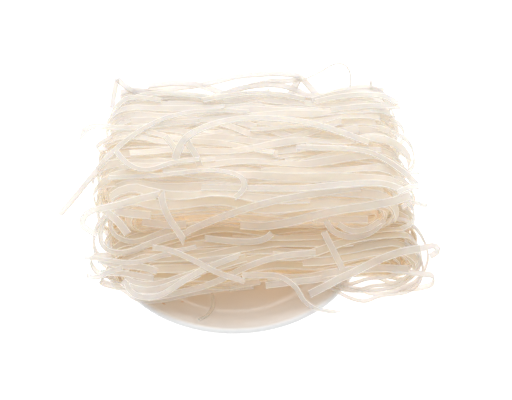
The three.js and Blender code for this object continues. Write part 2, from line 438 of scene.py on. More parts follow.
@dataclass
class Laid:
    """A ribbon laid on a hank's unrolled grid.

    Attributes:
        travel: Distances along the loop, mm.
        depth: Places across the hank, mm.
        width: Width of the ribbon, mm.
        thickness: Thickness of the ribbon, mm.
        height: Heights of the ribbon's middle over the loop's base, mm.
        roll: Roll of the ribbon, radians.
    """

    travel: Array
    depth: Array
    width: float
    thickness: float
    height: Array = field(default_factory=lambda: np.zeros(0))
    roll: Array = field(default_factory=lambda: np.zeros(0))


@dataclass
class Hank:
    """A folded hank: strands wound round a flat loop, laid on each other one by one.

    Attributes:
        name: Name of the hank's piece.
        centre: Middle of the hank, mm.
        yaw_degrees: Turn about +Z.
        length: Outer length with the end loops, mm.
        depth: Outer depth, mm.
        height: Outer height, mm.
        part_count: Strands that go round part of the loop.
        whole_count: Strands wound once round the whole loop.
        cover_count: Shorter strands strewn over the upper side.
        seed: Seed of the random draws.
        core_radius: Radius of the bare core's ends, mm.
        end_room: Room for loose loops outside the core's ends, mm.
        edge_rounding: Radius of the hank's long edges, mm.
        front_rounding: How much wider the rounding of the front edge is, mm.
        edge_height: Half the height that is left at the long edges, mm.
        droop: How far the right end hangs down, mm.
        droop_length: How far in from the core's end the droop starts, mm.
        floor_height: Least height of any strand over the dish, mm.
        dish_reach: Distance from the dish's axis within which that height holds, mm.
        corner_cut: How much shorter the outermost strands are at each end, mm.
        front_left_cut: How much shorter still the front strands are at the left, mm.
        front_start: Distance in front of the middle at which that cut starts, mm.
        left_reach: How far single loops stand out at the left end, mm.
        right_reach: How far single loops stand out at the right end, mm.
        most_reach: The furthest that a loop stands out at the left and at the right end, mm.
        loop_ramp: Length over which a loop is drawn out, mm.
        painted_warmth: Painted shade that makes its strands warmer and darker than the uppermost ones, from
            0 to 1.
        front_painted_warmth: Painted shade that makes the front strands warmer and darker than the back
            ones, from 0 to 1.
        deep_painted_warmth: Painted shade that makes a strand deep under others warmer and darker, from 0
            to 1.
        usual_width: Usual width of the wound strands, mm.
        cover_width: Usual width of the strands strewn over the upper side, mm.
        core_setback: How much further in the core ends at the rear than at the front, mm.
        ragged: How far its back edge falls in between the places where it bulges, mm.
        bulges: Distance between the bulges of the back edge and of the front edge, mm.
        pleat: Distance between the pleats at its ends, mm.
        pleat_pull: How far strands are drawn together into a pleat, mm.
        scallop: How far the middle of a pleat stands out, mm.
        grid_step: Distance between grid cells along the loop, mm.
        grid_depth_step: Distance between grid cells across the hank, mm.
        slackness: Curvature of the deepest sag that a strand takes up, 1/mm.
    """

    name: str
    centre: Place
    yaw_degrees: float
    length: float
    depth: float
    height: float
    part_count: int
    whole_count: int
    cover_count: int
    seed: int
    core_radius: float = 6.5
    end_room: float = 12.0
    edge_rounding: float = 11.0
    front_rounding: float = 0.0
    edge_height: float = 2.0
    droop: float = 0.0
    droop_length: float = 12.0
    floor_height: float = 0.0
    dish_reach: float = 84.0
    corner_cut: float = 7.0
    front_left_cut: float = 0.0
    front_start: float = 30.0
    left_reach: float = 1.7
    right_reach: float = 1.7
    most_reach: Pair = (10.0, 15.0)
    loop_ramp: float = 16.0
    painted_warmth: float = 0.0
    front_painted_warmth: float = 0.0
    deep_painted_warmth: float = 0.25
    usual_width: float = 4.6
    cover_width: float = 5.6
    core_setback: float = 18.0
    ragged: float = 5.0
    bulges: Pair = (57.0, 71.0)
    pleat: float = 12.0
    pleat_pull: float = 3.2
    scallop: float = 1.6
    grid_step: float = 2.0
    grid_depth_step: float = 0.6
    slackness: float = 0.014

    # room of the grid beyond the long edges, and of the strands and the bare core within them, mm
    GRID_MARGIN = 4.0
    STRAND_MARGIN = 1.0
    CORE_MARGIN = 5.0
    # how much thinner the bare core is at the corners of its end turns, as a share of its radius
    TURN_THINNING = 0.3
    # fewest stations of a strand, and how far the lengths of its waves stray from the usual ones
    FEWEST_STATIONS = 8
    WAVE_STRETCH = (0.8, 1.25)
    # how closely strands crowd towards the long edges
    CROWDING = 1.15
    # share of the back edge's raggedness that the front edge has
    FRONT_RAGGED = 0.5
    # how much a strand that lies over the target counts against one that lies under it
    OVERFILL = 0.8
    # lengths of strands, as shares of half a straight side or of the whole loop
    STREWN_SHARES = (0.8, 2.4)
    STRAIGHT_SHARES = (1.2, 2.1)
    ROUND_SHARES = (0.3, 0.9)
    WHOLE_SHARES = (0.8, 0.96)
    # how far past a straight's end a strewn strand starts, and how far other starts stray, mm
    STREWN_STARTS = (4, 20)
    STRAIGHT_STRAY = 20
    WHOLE_STRAY = 8
    # spread and limits of a ribbon's width about the usual one, and its thickness, mm
    WIDTH_SPREAD = 0.55
    WIDTH_LIMITS = (-1.2, 1.0)
    THICKNESS = (0.45, 0.62)
    # share of strands with a twist, its length in steps and its spread in radians
    TWISTED_SHARE = 0.25
    TWIST_STEPS = (6, 16)
    TWIST_SPREAD = 0.5
    # steepest roll of a ribbon, and where across it the roll is measured, as a share of its width
    STEEPEST_ROLL = 0.5
    ROLL_REACH = 0.38
    # places across a ribbon that are let down, and that it then covers
    SETTLE_PLACES = 7
    COVERED_PLACES = 11
    # slack of end loops: shape and size of its draw, its limit, and the room that lets it all out, mm
    SLACK_DRAW = (1.5, 0.8)
    MOST_SLACK = 4.0
    SLACK_ROOM = 3.0
    # how far a ribbon may sink into the one below where it is smoothed, mm
    SINK = 0.25
    # share of ends that curl, and height and length of the curl, mm
    CURLED_SHARE = 0.5
    CURLS = (0.3, 2.2)
    CURL_LENGTH = 22.0
    # how far the droop may grow past its full size, as a share of its length
    DROOP_LIMIT = 1.2
    # how far a rolled ribbon's edge hangs below its middle, as a share of its width
    EDGE_DROP = 0.3
    # shape of the draw of how far an end loop stands out
    REACH_SHAPE = 1.6
    # depth of other strands under which a strand takes its full painted shade, mm
    PAINTED_SHADE_DEPTH = 6.0
    # turn share up to which a place is on a straight, where a strand keeps one station in so many
    STRAIGHT_LIMIT = 0.02
    STRAIGHT_STATIONS = 3
    # how far the inner block stays inside the bare core along, across and up, mm, and its rounding
    BLOCK_INSETS = (6.0, 9.0, 0.4)
    BLOCK_SEGMENTS = (72, 28)
    BLOCK_POWERS = (0.75, 0.4, 0.6)

    def __post_init__(self) -> None:
        """Work out the loop and the empty height grid."""
        self.random = np.random.default_rng(self.seed)
        self.yaw = math.radians(self.yaw_degrees)
        self.straight = self.length / 2 - self.core_radius - self.end_room
        self.turn = math.pi * self.core_radius
        self.perimeter = 4 * self.straight + 2 * self.turn
        self.columns = int(round(self.perimeter / self.grid_step))
        self.grid_step = self.perimeter / self.columns
        self.half_grid = self.depth / 2 + self.GRID_MARGIN
        self.rows = int(round(2 * self.half_grid / self.grid_depth_step))
        travel = np.arange(self.columns) * self.grid_step
        depth = -self.half_grid + np.arange(self.rows) * self.grid_depth_step
        self.heights = self._core_heights(travel, depth)
        self.target = self._target_heights(depth)
        self.bunch_phase = self.random.uniform(0, FULL_TURN, 2)
        self.edge_phase = self.random.uniform(0, FULL_TURN, 2)

    def turn_share(self, travel: Array) -> Array:
        """How far into an end turn each place on the loop is: 0 on the straights, 1 at the tips.

        Args:
            travel: Distances along the loop, mm.

        Returns:
            Shares from 0 to 1.
        """
        wrapped = np.mod(travel, self.perimeter)
        right = (wrapped - self.straight) / self.turn
        left = (wrapped - 3 * self.straight - self.turn) / self.turn
        return np.maximum(np.sin(np.clip(right, 0, 1) * math.pi), np.sin(np.clip(left, 0, 1) * math.pi))

    def _at_left(self, travel: Array) -> Array:
        """Which places on the loop belong to its left end."""
        return np.mod(travel, self.perimeter) > 2 * self.straight + self.turn

    def _core_heights(self, travel: Array, depth: Array) -> Array:
        """Heights of the bare core: a pillow that thins towards its long edges.

        Args:
            travel: Distances along the loop, mm.
            depth: Places across the hank, mm.

        Returns:
            Heights over the loop's base, one row for each place along the loop.
        """
        share = np.clip(np.abs(depth) / (self.depth / 2 - self.CORE_MARGIN), 0, 1)
        straight = self.core_radius * np.sqrt(1 - share**4) - self.core_radius
        at_turn = -self.TURN_THINNING * self.core_radius * share**4
        blend = self.turn_share(travel)[:, None]
        return straight[None, :] * (1 - blend) + at_turn[None, :] * blend

    def _target_heights(self, depth: Array) -> Array:
        """Heights that the finished hank is filled to.

        Args:
            depth: Places across the hank, mm.

        Returns:
            Target heights, one row for each place along the loop.
        """
        rounding = self.edge_rounding + np.where(depth < 0, self.front_rounding, 0.0)
        inner = self.depth / 2 - rounding
        share = np.clip((np.abs(depth) - inner) / rounding, 0, 0.999)
        full = self.height / 2 - self.core_radius
        drop = (self.height / 2 - self.edge_height) * (1 - np.sqrt(1 - share**2))
        return np.broadcast_to(full - drop[None, :], (self.columns, self.rows))

    def _cells(self, travel: Array, depth: Array) -> tuple[Array, Array]:
        """Grid cells of places on the loop.

        Args:
            travel: Distances along the loop, mm.
            depth: Places across the hank, mm.

        Returns:
            Column and row numbers.
        """
        column = np.mod(np.round(travel / self.grid_step).astype(int), self.columns)
        row = np.round((depth + self.half_grid) / self.grid_depth_step).astype(int)
        return column, np.clip(row, 0, self.rows - 1)

    def _loop_frame(self, travel: Array) -> tuple[Array, Array]:
        """Base places and outward directions on the loop, in the hank's own frame.

        Args:
            travel: Distances along the loop, mm.

        Returns:
            Base points of the loop's middle line and outward unit vectors, without depth.
        """
        wrapped = np.mod(travel, self.perimeter)
        right_end = self.straight + self.turn
        left_start = 3 * self.straight + self.turn
        left_end = left_start + self.turn
        stretches = [wrapped < end for end in (self.straight, right_end, left_start, left_end)]
        angle = np.select(
            stretches,
            [
                np.zeros_like(wrapped),
                (wrapped - self.straight) / self.core_radius,
                np.full_like(wrapped, math.pi),
                math.pi + (wrapped - left_start) / self.core_radius,
            ],
            default=FULL_TURN,
        )
        x = np.select(
            stretches,
            [
                wrapped,
                np.full_like(wrapped, self.straight),
                2 * self.straight + self.turn - wrapped,
                np.full_like(wrapped, -self.straight),
            ],
            default=wrapped - self.perimeter,
        )
        zero = np.zeros_like(x)
        base = np.stack([x, zero, zero], axis=1)
        outward = np.stack([np.sin(angle), zero, np.cos(angle)], axis=1)
        return base, outward

    def _pleat_angle(self, depth: Array, at_left: Array) -> Array:
        """Angle of the wave of pleats at places across the hank.

        Args:
            depth: Places across the hank, mm.
            at_left: Which places belong to the left end.

        Returns:
            Angles, radians.
        """
        phase = np.where(at_left, self.bunch_phase[0], self.bunch_phase[1])
        return FULL_TURN * depth / self.pleat + phase

    def _bunched(self, travel: Array, depth: Array) -> Array:
        """Draw strands together into pleats at the end turns.

        Args:
            travel: Distances along the loop, mm.
            depth: Places across the hank, mm.

        Returns:
            Places across the hank with the pleats.
        """
        wave = np.sin(self._pleat_angle(depth, self._at_left(travel)))
        return depth + self.pleat_pull * self.turn_share(travel) * wave

    def _stretched(self, points: Array, reach: Array) -> Array:
        """Draw a strand's end loops outwards, most at the middle of each pleat.

        Args:
            points: The strand's places in the hank's own frame, mm.
            reach: How far its loop stands out at the left and at the right end, mm.

        Returns:
            The places with the end loops drawn out.
        """
        share = np.clip((np.abs(points[:, 0]) - self.straight + self.loop_ramp) / self.loop_ramp, 0, 1)
        share = share * share * (3 - 2 * share)
        at_left = points[:, 0] < 0
        scallop = -self.scallop * np.cos(self._pleat_angle(points[:, 1], at_left))
        drawn = points.copy()
        drawn[:, 0] += np.sign(points[:, 0]) * share * (np.where(at_left, reach[0], reach[1]) + scallop)
        return drawn

    def _span(self, kind: StrandKind) -> Pair:
        """Draw where on the loop a strand starts and how long it is.

        Args:
            kind: How much of the loop the strand goes round.

        Returns:
            Start and length along the loop, mm.
        """
        draw = self.random.uniform
        if kind is StrandKind.COVER:
            length = draw(*self.STREWN_SHARES) * self.straight
            start = -self.straight - draw(*self.STREWN_STARTS)
            if self.random.random() < 0.5:
                start = -start - length
        elif kind is StrandKind.WHOLE:
            length = draw(*self.WHOLE_SHARES) * self.perimeter
            start = (self.perimeter - length) / 2 + self.perimeter / 2
            start += draw(-self.WHOLE_STRAY, self.WHOLE_STRAY)
        elif self.random.random() < 0.5:
            length = draw(*self.STRAIGHT_SHARES) * self.straight
            start = self.random.choice([0.0, self.perimeter / 2]) - length / 2
            start += draw(-self.STRAIGHT_STRAY, self.STRAIGHT_STRAY)
        else:
            length = draw(*self.ROUND_SHARES) * self.perimeter
            start = draw(0, self.perimeter)
        return start, length

    def _route(self, kind: StrandKind, habit: StrandHabit) -> tuple[Array, Array]:
        """Draw one random route along the loop.

        Args:
            kind: How much of the loop the strand goes round.
            habit: How strands of this kind are drawn.

        Returns:
            Distances along the loop and places across the hank.
        """
        start, length = self._span(kind)
        count = max(self.FEWEST_STATIONS, int(length / self.grid_step))
        travel = start + np.arange(count) * self.grid_step
        limit = self.depth / 2 - self.STRAND_MARGIN
        middle = self.random.uniform(-limit, limit)
        slant = math.tan(math.radians(self.random.normal(0, habit.slant_degrees)))
        local = (travel - travel.mean()) * slant
        for wave, size in habit.waves:
            phase = self.random.uniform(0, FULL_TURN)
            stretch = self.random.uniform(*self.WAVE_STRETCH)
            amount = self.random.normal(0, size)
            local = local + amount * np.sin(FULL_TURN * travel / (wave * stretch) + phase)
        depth = limit * np.tanh((middle + local) / limit * self.CROWDING) / math.tanh(self.CROWDING)
        depth = self._ragged(travel, np.clip(depth, -limit, limit), limit)
        return travel, self._bunched(travel, depth)

    def _ragged(self, travel: Array, depth: Array, limit: float) -> Array:
        """Let the hank's long edges fall in here and there.

        Args:
            travel: Distances along the loop, mm.
            depth: Places across the hank, mm.
            limit: The place of the long edges, mm.

        Returns:
            Places across the hank with the edges drawn in.
        """
        x = self._loop_frame(travel)[0][:, 0]
        back, front = (
            amount * (0.5 + 0.5 * np.sin(FULL_TURN * x / bulge + phase))
            for amount, bulge, phase in zip(
                (self.ragged, self.FRONT_RAGGED * self.ragged), self.bulges, self.edge_phase
            )
        )
        share = depth / limit
        return depth - back * np.clip(share, 0, 1) ** 4 + front * np.clip(-share, 0, 1) ** 4

    def _lowest_route(self, kind: StrandKind, habit: StrandHabit) -> tuple[Array, Array]:
        """Pick the random route that lies furthest below the target.

        Args:
            kind: How much of the loop the strand goes round.
            habit: How strands of this kind are drawn.

        Returns:
            Distances along the loop and places across the hank.
        """
        best = self._route(kind, habit)
        most = -math.inf
        for _ in range(habit.tries):
            travel, depth = self._route(kind, habit)
            cells = self._cells(travel, depth)
            gap = self.target[cells] - self.heights[cells]
            room = float(np.clip(gap, 0.0, None).mean() + self.OVERFILL * np.clip(gap, None, 0.0).mean())
            if room > most:
                best = (travel, depth)
                most = room
        return best

    def _rolled(self, ribbon: Laid) -> Array:
        """Roll a ribbon as the strands below it slope, and twist some ribbons further.

        Args:
            ribbon: The ribbon, not yet let down.

        Returns:
            Its roll, radians.
        """
        reach = self.ROLL_REACH * ribbon.width
        left = self.heights[self._cells(ribbon.travel, ribbon.depth - reach)]
        right = self.heights[self._cells(ribbon.travel, ribbon.depth + reach)]
        slope = np.clip((right - left) / (2 * reach), -self.STEEPEST_ROLL, self.STEEPEST_ROLL)
        roll = soften(np.arctan(slope), 5)
        if self.random.random() < self.TWISTED_SHARE:
            steps = np.arange(len(roll))
            place = self.random.uniform(0, len(roll))
            spread = self.random.uniform(*self.TWIST_STEPS)
            turned = self.random.normal(0, self.TWIST_SPREAD)
            roll = roll + turned * np.exp(-0.5 * ((steps - place) / spread) ** 2)
        return roll

    def _settle(self, ribbon: Laid) -> None:
        """Let a ribbon down on what is already laid.

        Args:
            ribbon: The ribbon, whose roll and heights are worked out here.
        """
        travel, depth = ribbon.travel, ribbon.depth
        ribbon.roll = self._rolled(ribbon)
        need = np.full(len(travel), -np.inf)
        for offset in np.linspace(-0.5, 0.5, self.SETTLE_PLACES) * ribbon.width:
            under = self.heights[self._cells(travel, depth + offset * np.cos(ribbon.roll))]
            need = np.maximum(need, under - offset * np.sin(ribbon.roll) + ribbon.thickness / 2)
        slack_left = self.random.gamma(*self.SLACK_DRAW)
        slack_right = self.random.gamma(*self.SLACK_DRAW)
        slack = np.minimum(np.where(self._at_left(travel), slack_left, slack_right), self.MOST_SLACK)
        room = self.target[self._cells(travel, depth)] - need
        need = need + slack * self.turn_share(travel) * np.clip(room / self.SLACK_ROOM, 0, 1)
        height = bridge(need, self.grid_step, self.slackness)
        height = soften(np.maximum(soften(height, 2), need - self.SINK), 1)
        steps = np.arange(len(travel))
        for end in (steps, steps[::-1]):
            if self.random.random() < self.CURLED_SHARE:
                curl = self.random.uniform(*self.CURLS)
                height = height + curl * np.clip(1 - end * self.grid_step / self.CURL_LENGTH, 0, 1) ** 2
        ribbon.height = height

    def _raise_grid(self, ribbon: Laid) -> None:
        """Note how high a laid ribbon reaches.

        Args:
            ribbon: The ribbon.
        """
        for offset in np.linspace(-0.5, 0.5, self.COVERED_PLACES) * ribbon.width:
            cells = self._cells(ribbon.travel, ribbon.depth + offset * np.cos(ribbon.roll))
            top = ribbon.height + offset * np.sin(ribbon.roll) + ribbon.thickness / 2
            np.maximum.at(self.heights, cells, top)

    def to_part(self, points: Array) -> Array:
        """Move points from the hank's own frame to the part's frame.

        Args:
            points: Points, one a row, mm.

        Returns:
            The points in the part's frame, mm.
        """
        x, y = points[:, 0], points[:, 1]
        drooping = self.end_room + self.core_radius + self.droop_length
        hanging = np.clip((x - self.straight + self.droop_length) / drooping, 0, self.DROOP_LIMIT)
        outer = np.clip(np.abs(y) / (self.depth / 2), 0, 1) ** 3
        front = np.clip((-y - self.front_start) / (self.depth / 2 - self.front_start), 0, 1) ** 2 * (x < 0)
        shorter = (self.corner_cut * outer + self.front_left_cut * front) / (self.length / 2)
        placed = points.copy()
        placed[:, 0] *= 1 - shorter
        placed[:, 2] -= self.droop * hanging**2
        cos, sin = math.cos(self.yaw), math.sin(self.yaw)
        placed[:, :2] = placed[:, :2] @ np.array([[cos, sin], [-sin, cos]])
        return placed + np.array(self.centre)

    def lay(self) -> list[Strand]:
        """Lay the hank's strands one by one.

        Returns:
            The strands, in the order in which they were laid.
        """
        laid = []
        kinds = [StrandKind.PART] * self.part_count + [StrandKind.WHOLE] * self.whole_count
        for kind in kinds + [StrandKind.COVER] * self.cover_count:
            strewn = kind is StrandKind.COVER
            travel, depth = self._lowest_route(kind, STREWN_HABIT if strewn else WOUND_HABIT)
            usual = self.cover_width if strewn else self.usual_width
            least, most = (usual + limit for limit in self.WIDTH_LIMITS)
            width = float(np.clip(self.random.normal(usual, self.WIDTH_SPREAD), least, most))
            ribbon = Laid(travel, depth, width, self.random.uniform(*self.THICKNESS))
            self._settle(ribbon)
            self._raise_grid(ribbon)
            laid.append(ribbon)
        LOG.info("%s: %d strands laid", self.name, len(laid))
        return [self._strand(ribbon) for ribbon in laid]

    def _off_floor(self, points: Array, ribbon: Laid) -> Array:
        """Lift a ribbon off the dish's rim.

        Args:
            points: The ribbon's middle line in the part's frame, mm.
            ribbon: The laid ribbon.

        Returns:
            The middle line, nowhere too low over the dish.
        """
        edge = self.EDGE_DROP * ribbon.width * np.abs(np.sin(ribbon.roll))
        low = self.floor_height + ribbon.thickness / 2 + edge
        over_dish = np.hypot(points[:, 0], points[:, 1]) < self.dish_reach
        lifted = points.copy()
        lifted[:, 2] = np.where(over_dish, np.maximum(points[:, 2], low), points[:, 2])
        return lifted

    def _painted_shade_share(self, ribbon: Laid) -> Array:
        """How much painted shade a laid ribbon takes at each step: more on the lower hank, towards the
        front and under other strands.

        Args:
            ribbon: The laid ribbon.

        Returns:
            Shares from 0 to 1.
        """
        cells = self._cells(ribbon.travel, ribbon.depth)
        deep = (self.heights[cells] - ribbon.height - ribbon.thickness) / self.PAINTED_SHADE_DEPTH
        frontwards = np.clip(0.5 - ribbon.depth / self.depth, 0, 1)
        painted_warmth = self.painted_warmth + self.front_painted_warmth * frontwards
        return np.clip(painted_warmth + self.deep_painted_warmth * np.clip(deep, 0, 1), 0, 1)

    def _strand(self, ribbon: Laid) -> Strand:
        """Turn a laid ribbon into a strand in the part's frame.

        Args:
            ribbon: The laid ribbon.

        Returns:
            The strand, with stations close together only where it turns.
        """
        base, outward = self._loop_frame(ribbon.travel)
        points = base + outward * (self.core_radius + ribbon.height)[:, None]
        points[:, 1] = ribbon.depth
        reach = self.random.gamma(self.REACH_SHAPE, (self.left_reach, self.right_reach))
        points = self.to_part(self._stretched(points, np.minimum(reach, self.most_reach)))
        if self.floor_height:
            points = self._off_floor(points, ribbon)
        sideways = np.array([-math.sin(self.yaw), math.cos(self.yaw), 0.0])
        turned = outward.copy()
        turned[:, 0] = outward[:, 0] * math.cos(self.yaw)
        turned[:, 1] = outward[:, 0] * math.sin(self.yaw)
        facing = turned * np.cos(ribbon.roll)[:, None] - sideways[None, :] * np.sin(ribbon.roll)[:, None]
        steps = np.arange(len(points))
        turning = self.turn_share(ribbon.travel) > self.STRAIGHT_LIMIT
        keep = turning | (steps % self.STRAIGHT_STATIONS == 0)
        keep[-1] = True
        points, facing, painted_shade = points[keep], facing[keep], self._painted_shade_share(ribbon)[keep]
        across = unit(np.cross(facing, along(points)))
        return Strand(
            points=points,
            across=across,
            outward=np.cross(along(points), across),
            width=ribbon.width,
            thickness=ribbon.thickness,
            tone=self.random.normal(),
            painted_shade=soften(painted_shade, 1),
        )

    def core_piece(self, name: str) -> bpy.types.Object:
        """Make the hank's inner block, which closes the view between the strands.

        Args:
            name: Name of the piece.

        Returns:
            The core's object.
        """
        bare = (self.straight, self.depth / 2, self.core_radius)
        half = Vector([size - inset for size, inset in zip(bare, self.BLOCK_INSETS)])
        rear = half.y - self.core_setback
        squareness, flatness, flat_top = self.BLOCK_POWERS
        work = bmesh.new()
        around, up = self.BLOCK_SEGMENTS
        bmesh.ops.create_uvsphere(work, u_segments=around, v_segments=up, radius=1.0)
        for vert in work.verts:
            direction = vert.co.normalized()
            flat = max(abs(direction.x), abs(direction.y), TINY)
            ring = math.hypot(direction.x, direction.y)
            square = (ring / flat) ** squareness
            x, y = (side * square / max(ring, TINY) * ring**flatness for side in direction.xy)
            vert.co = Vector((x, y, math.copysign(abs(direction.z) ** flat_top, direction.z)))
        widest = max(abs(vert.co.x) for vert in work.verts)
        for vert in work.verts:
            reach = half.y if vert.co.y < 0 else rear
            vert.co = Vector((vert.co.x / widest * half.x, vert.co.y / widest * reach, vert.co.z * half.z))
        place = Matrix.Translation(Vector(self.centre)) @ Matrix.Rotation(self.yaw, 4, "Z")
        bmesh.ops.transform(work, matrix=Matrix.Scale(MM, 4) @ place, verts=work.verts)
        return rounded_piece(name, work)


# Loose strands


@dataclass
class ViewMap:
    """How far towards the viewer the strands reach, on a grid square to a raised front view.

    Attributes:
        elevation_degrees: How far the view looks down.
        cell: Size of a grid cell, mm.
        low: Lowest sideways and upwards place of the grid, mm.
        high: Highest sideways and upwards place of the grid, mm.
    """

    elevation_degrees: float = 45.0
    cell: float = 0.6
    low: Pair = (-130.0, -70.0)
    high: Pair = (145.0, 130.0)

    # depth of a cell that nothing reaches, mm
    EMPTY = -1e6
    # places across a strand that are noted
    NOTED_PLACES = 11

    def __post_init__(self) -> None:
        """Work out the view's directions and the empty grid."""
        tilt = math.radians(self.elevation_degrees)
        self.upwards = np.array([0.0, math.sin(tilt), math.cos(tilt)])
        self.nearer = np.array([0.0, -math.cos(tilt), math.sin(tilt)])
        size = [int((high - low) / self.cell) + 1 for low, high in zip(self.low, self.high)]
        self.depths = np.full(size, self.EMPTY)

    def _cells(self, points: Array) -> tuple[Array, Array]:
        """Grid cells of points in the part's frame.

        Args:
            points: Points, one a row, mm.

        Returns:
            Column and row numbers.
        """
        column = np.round((points[:, 0] - self.low[0]) / self.cell).astype(int)
        row = np.round((points @ self.upwards - self.low[1]) / self.cell).astype(int)
        columns, rows = self.depths.shape
        return np.clip(column, 0, columns - 1), np.clip(row, 0, rows - 1)

    def add(self, strand: Strand) -> None:
        """Note how near the viewer a strand reaches."""
        samples = strand.upper_side(self.cell, self.NOTED_PLACES)
        np.maximum.at(self.depths, self._cells(samples), samples @ self.nearer)

    def read(self, points: Array) -> Array:
        """How near the viewer the strands reach at given points, or EMPTY where there is nothing."""
        return self.depths[self._cells(points)]


@dataclass(frozen=True)
class LooseRoute:
    """Route of one loose strand.

    Attributes:
        width: Width of the ribbon, mm.
        places: Places that the strand passes, mm.
        facing: The way its flat side faces, or the way its width runs on a loop.
        settles: Whether it is let down on what lies below it.
        aloft: Whether it stands free in the air, with the light all round it.
        twist_degrees: Turn of the ribbon about its own line at its first end and at its last.
        mitre: Slope of the cut at its first end and at its last, 0 for a square cut.
    """

    width: float
    places: tuple[Place, ...]
    facing: Facing | Width = Facing.UP
    settles: bool = True
    aloft: bool = False
    twist_degrees: Pair = (0.0, 0.0)
    mitre: Pair = (0.0, 0.0)


def lying(width: float, *places: Place, **ends: Pair) -> LooseRoute:
    """A strand let down flat on what lies below it."""
    return LooseRoute(width, places, **ends)


def leaning(width: float, *places: Place, **ends: Pair) -> LooseRoute:
    """A strand let down with its flat side towards the viewer."""
    return LooseRoute(width, places, Facing.LEANING, **ends)


def held(width: float, *places: Place, facing: Facing = Facing.UP) -> LooseRoute:
    """A strand that stays where its places are."""
    return LooseRoute(width, places, facing, settles=False)


def free(width: float, *places: Place, facing: Facing = Facing.UP, **ends: Pair) -> LooseRoute:
    """A strand that stands free in the air."""
    return LooseRoute(width, places, facing, settles=False, aloft=True, **ends)


def looped(width: float, *places: Place, runs: Width = Width.DEPTHWAYS, aloft: bool = False) -> LooseRoute:
    """A strand that loops over itself where its places are."""
    return LooseRoute(width, places, runs, settles=False, aloft=aloft)


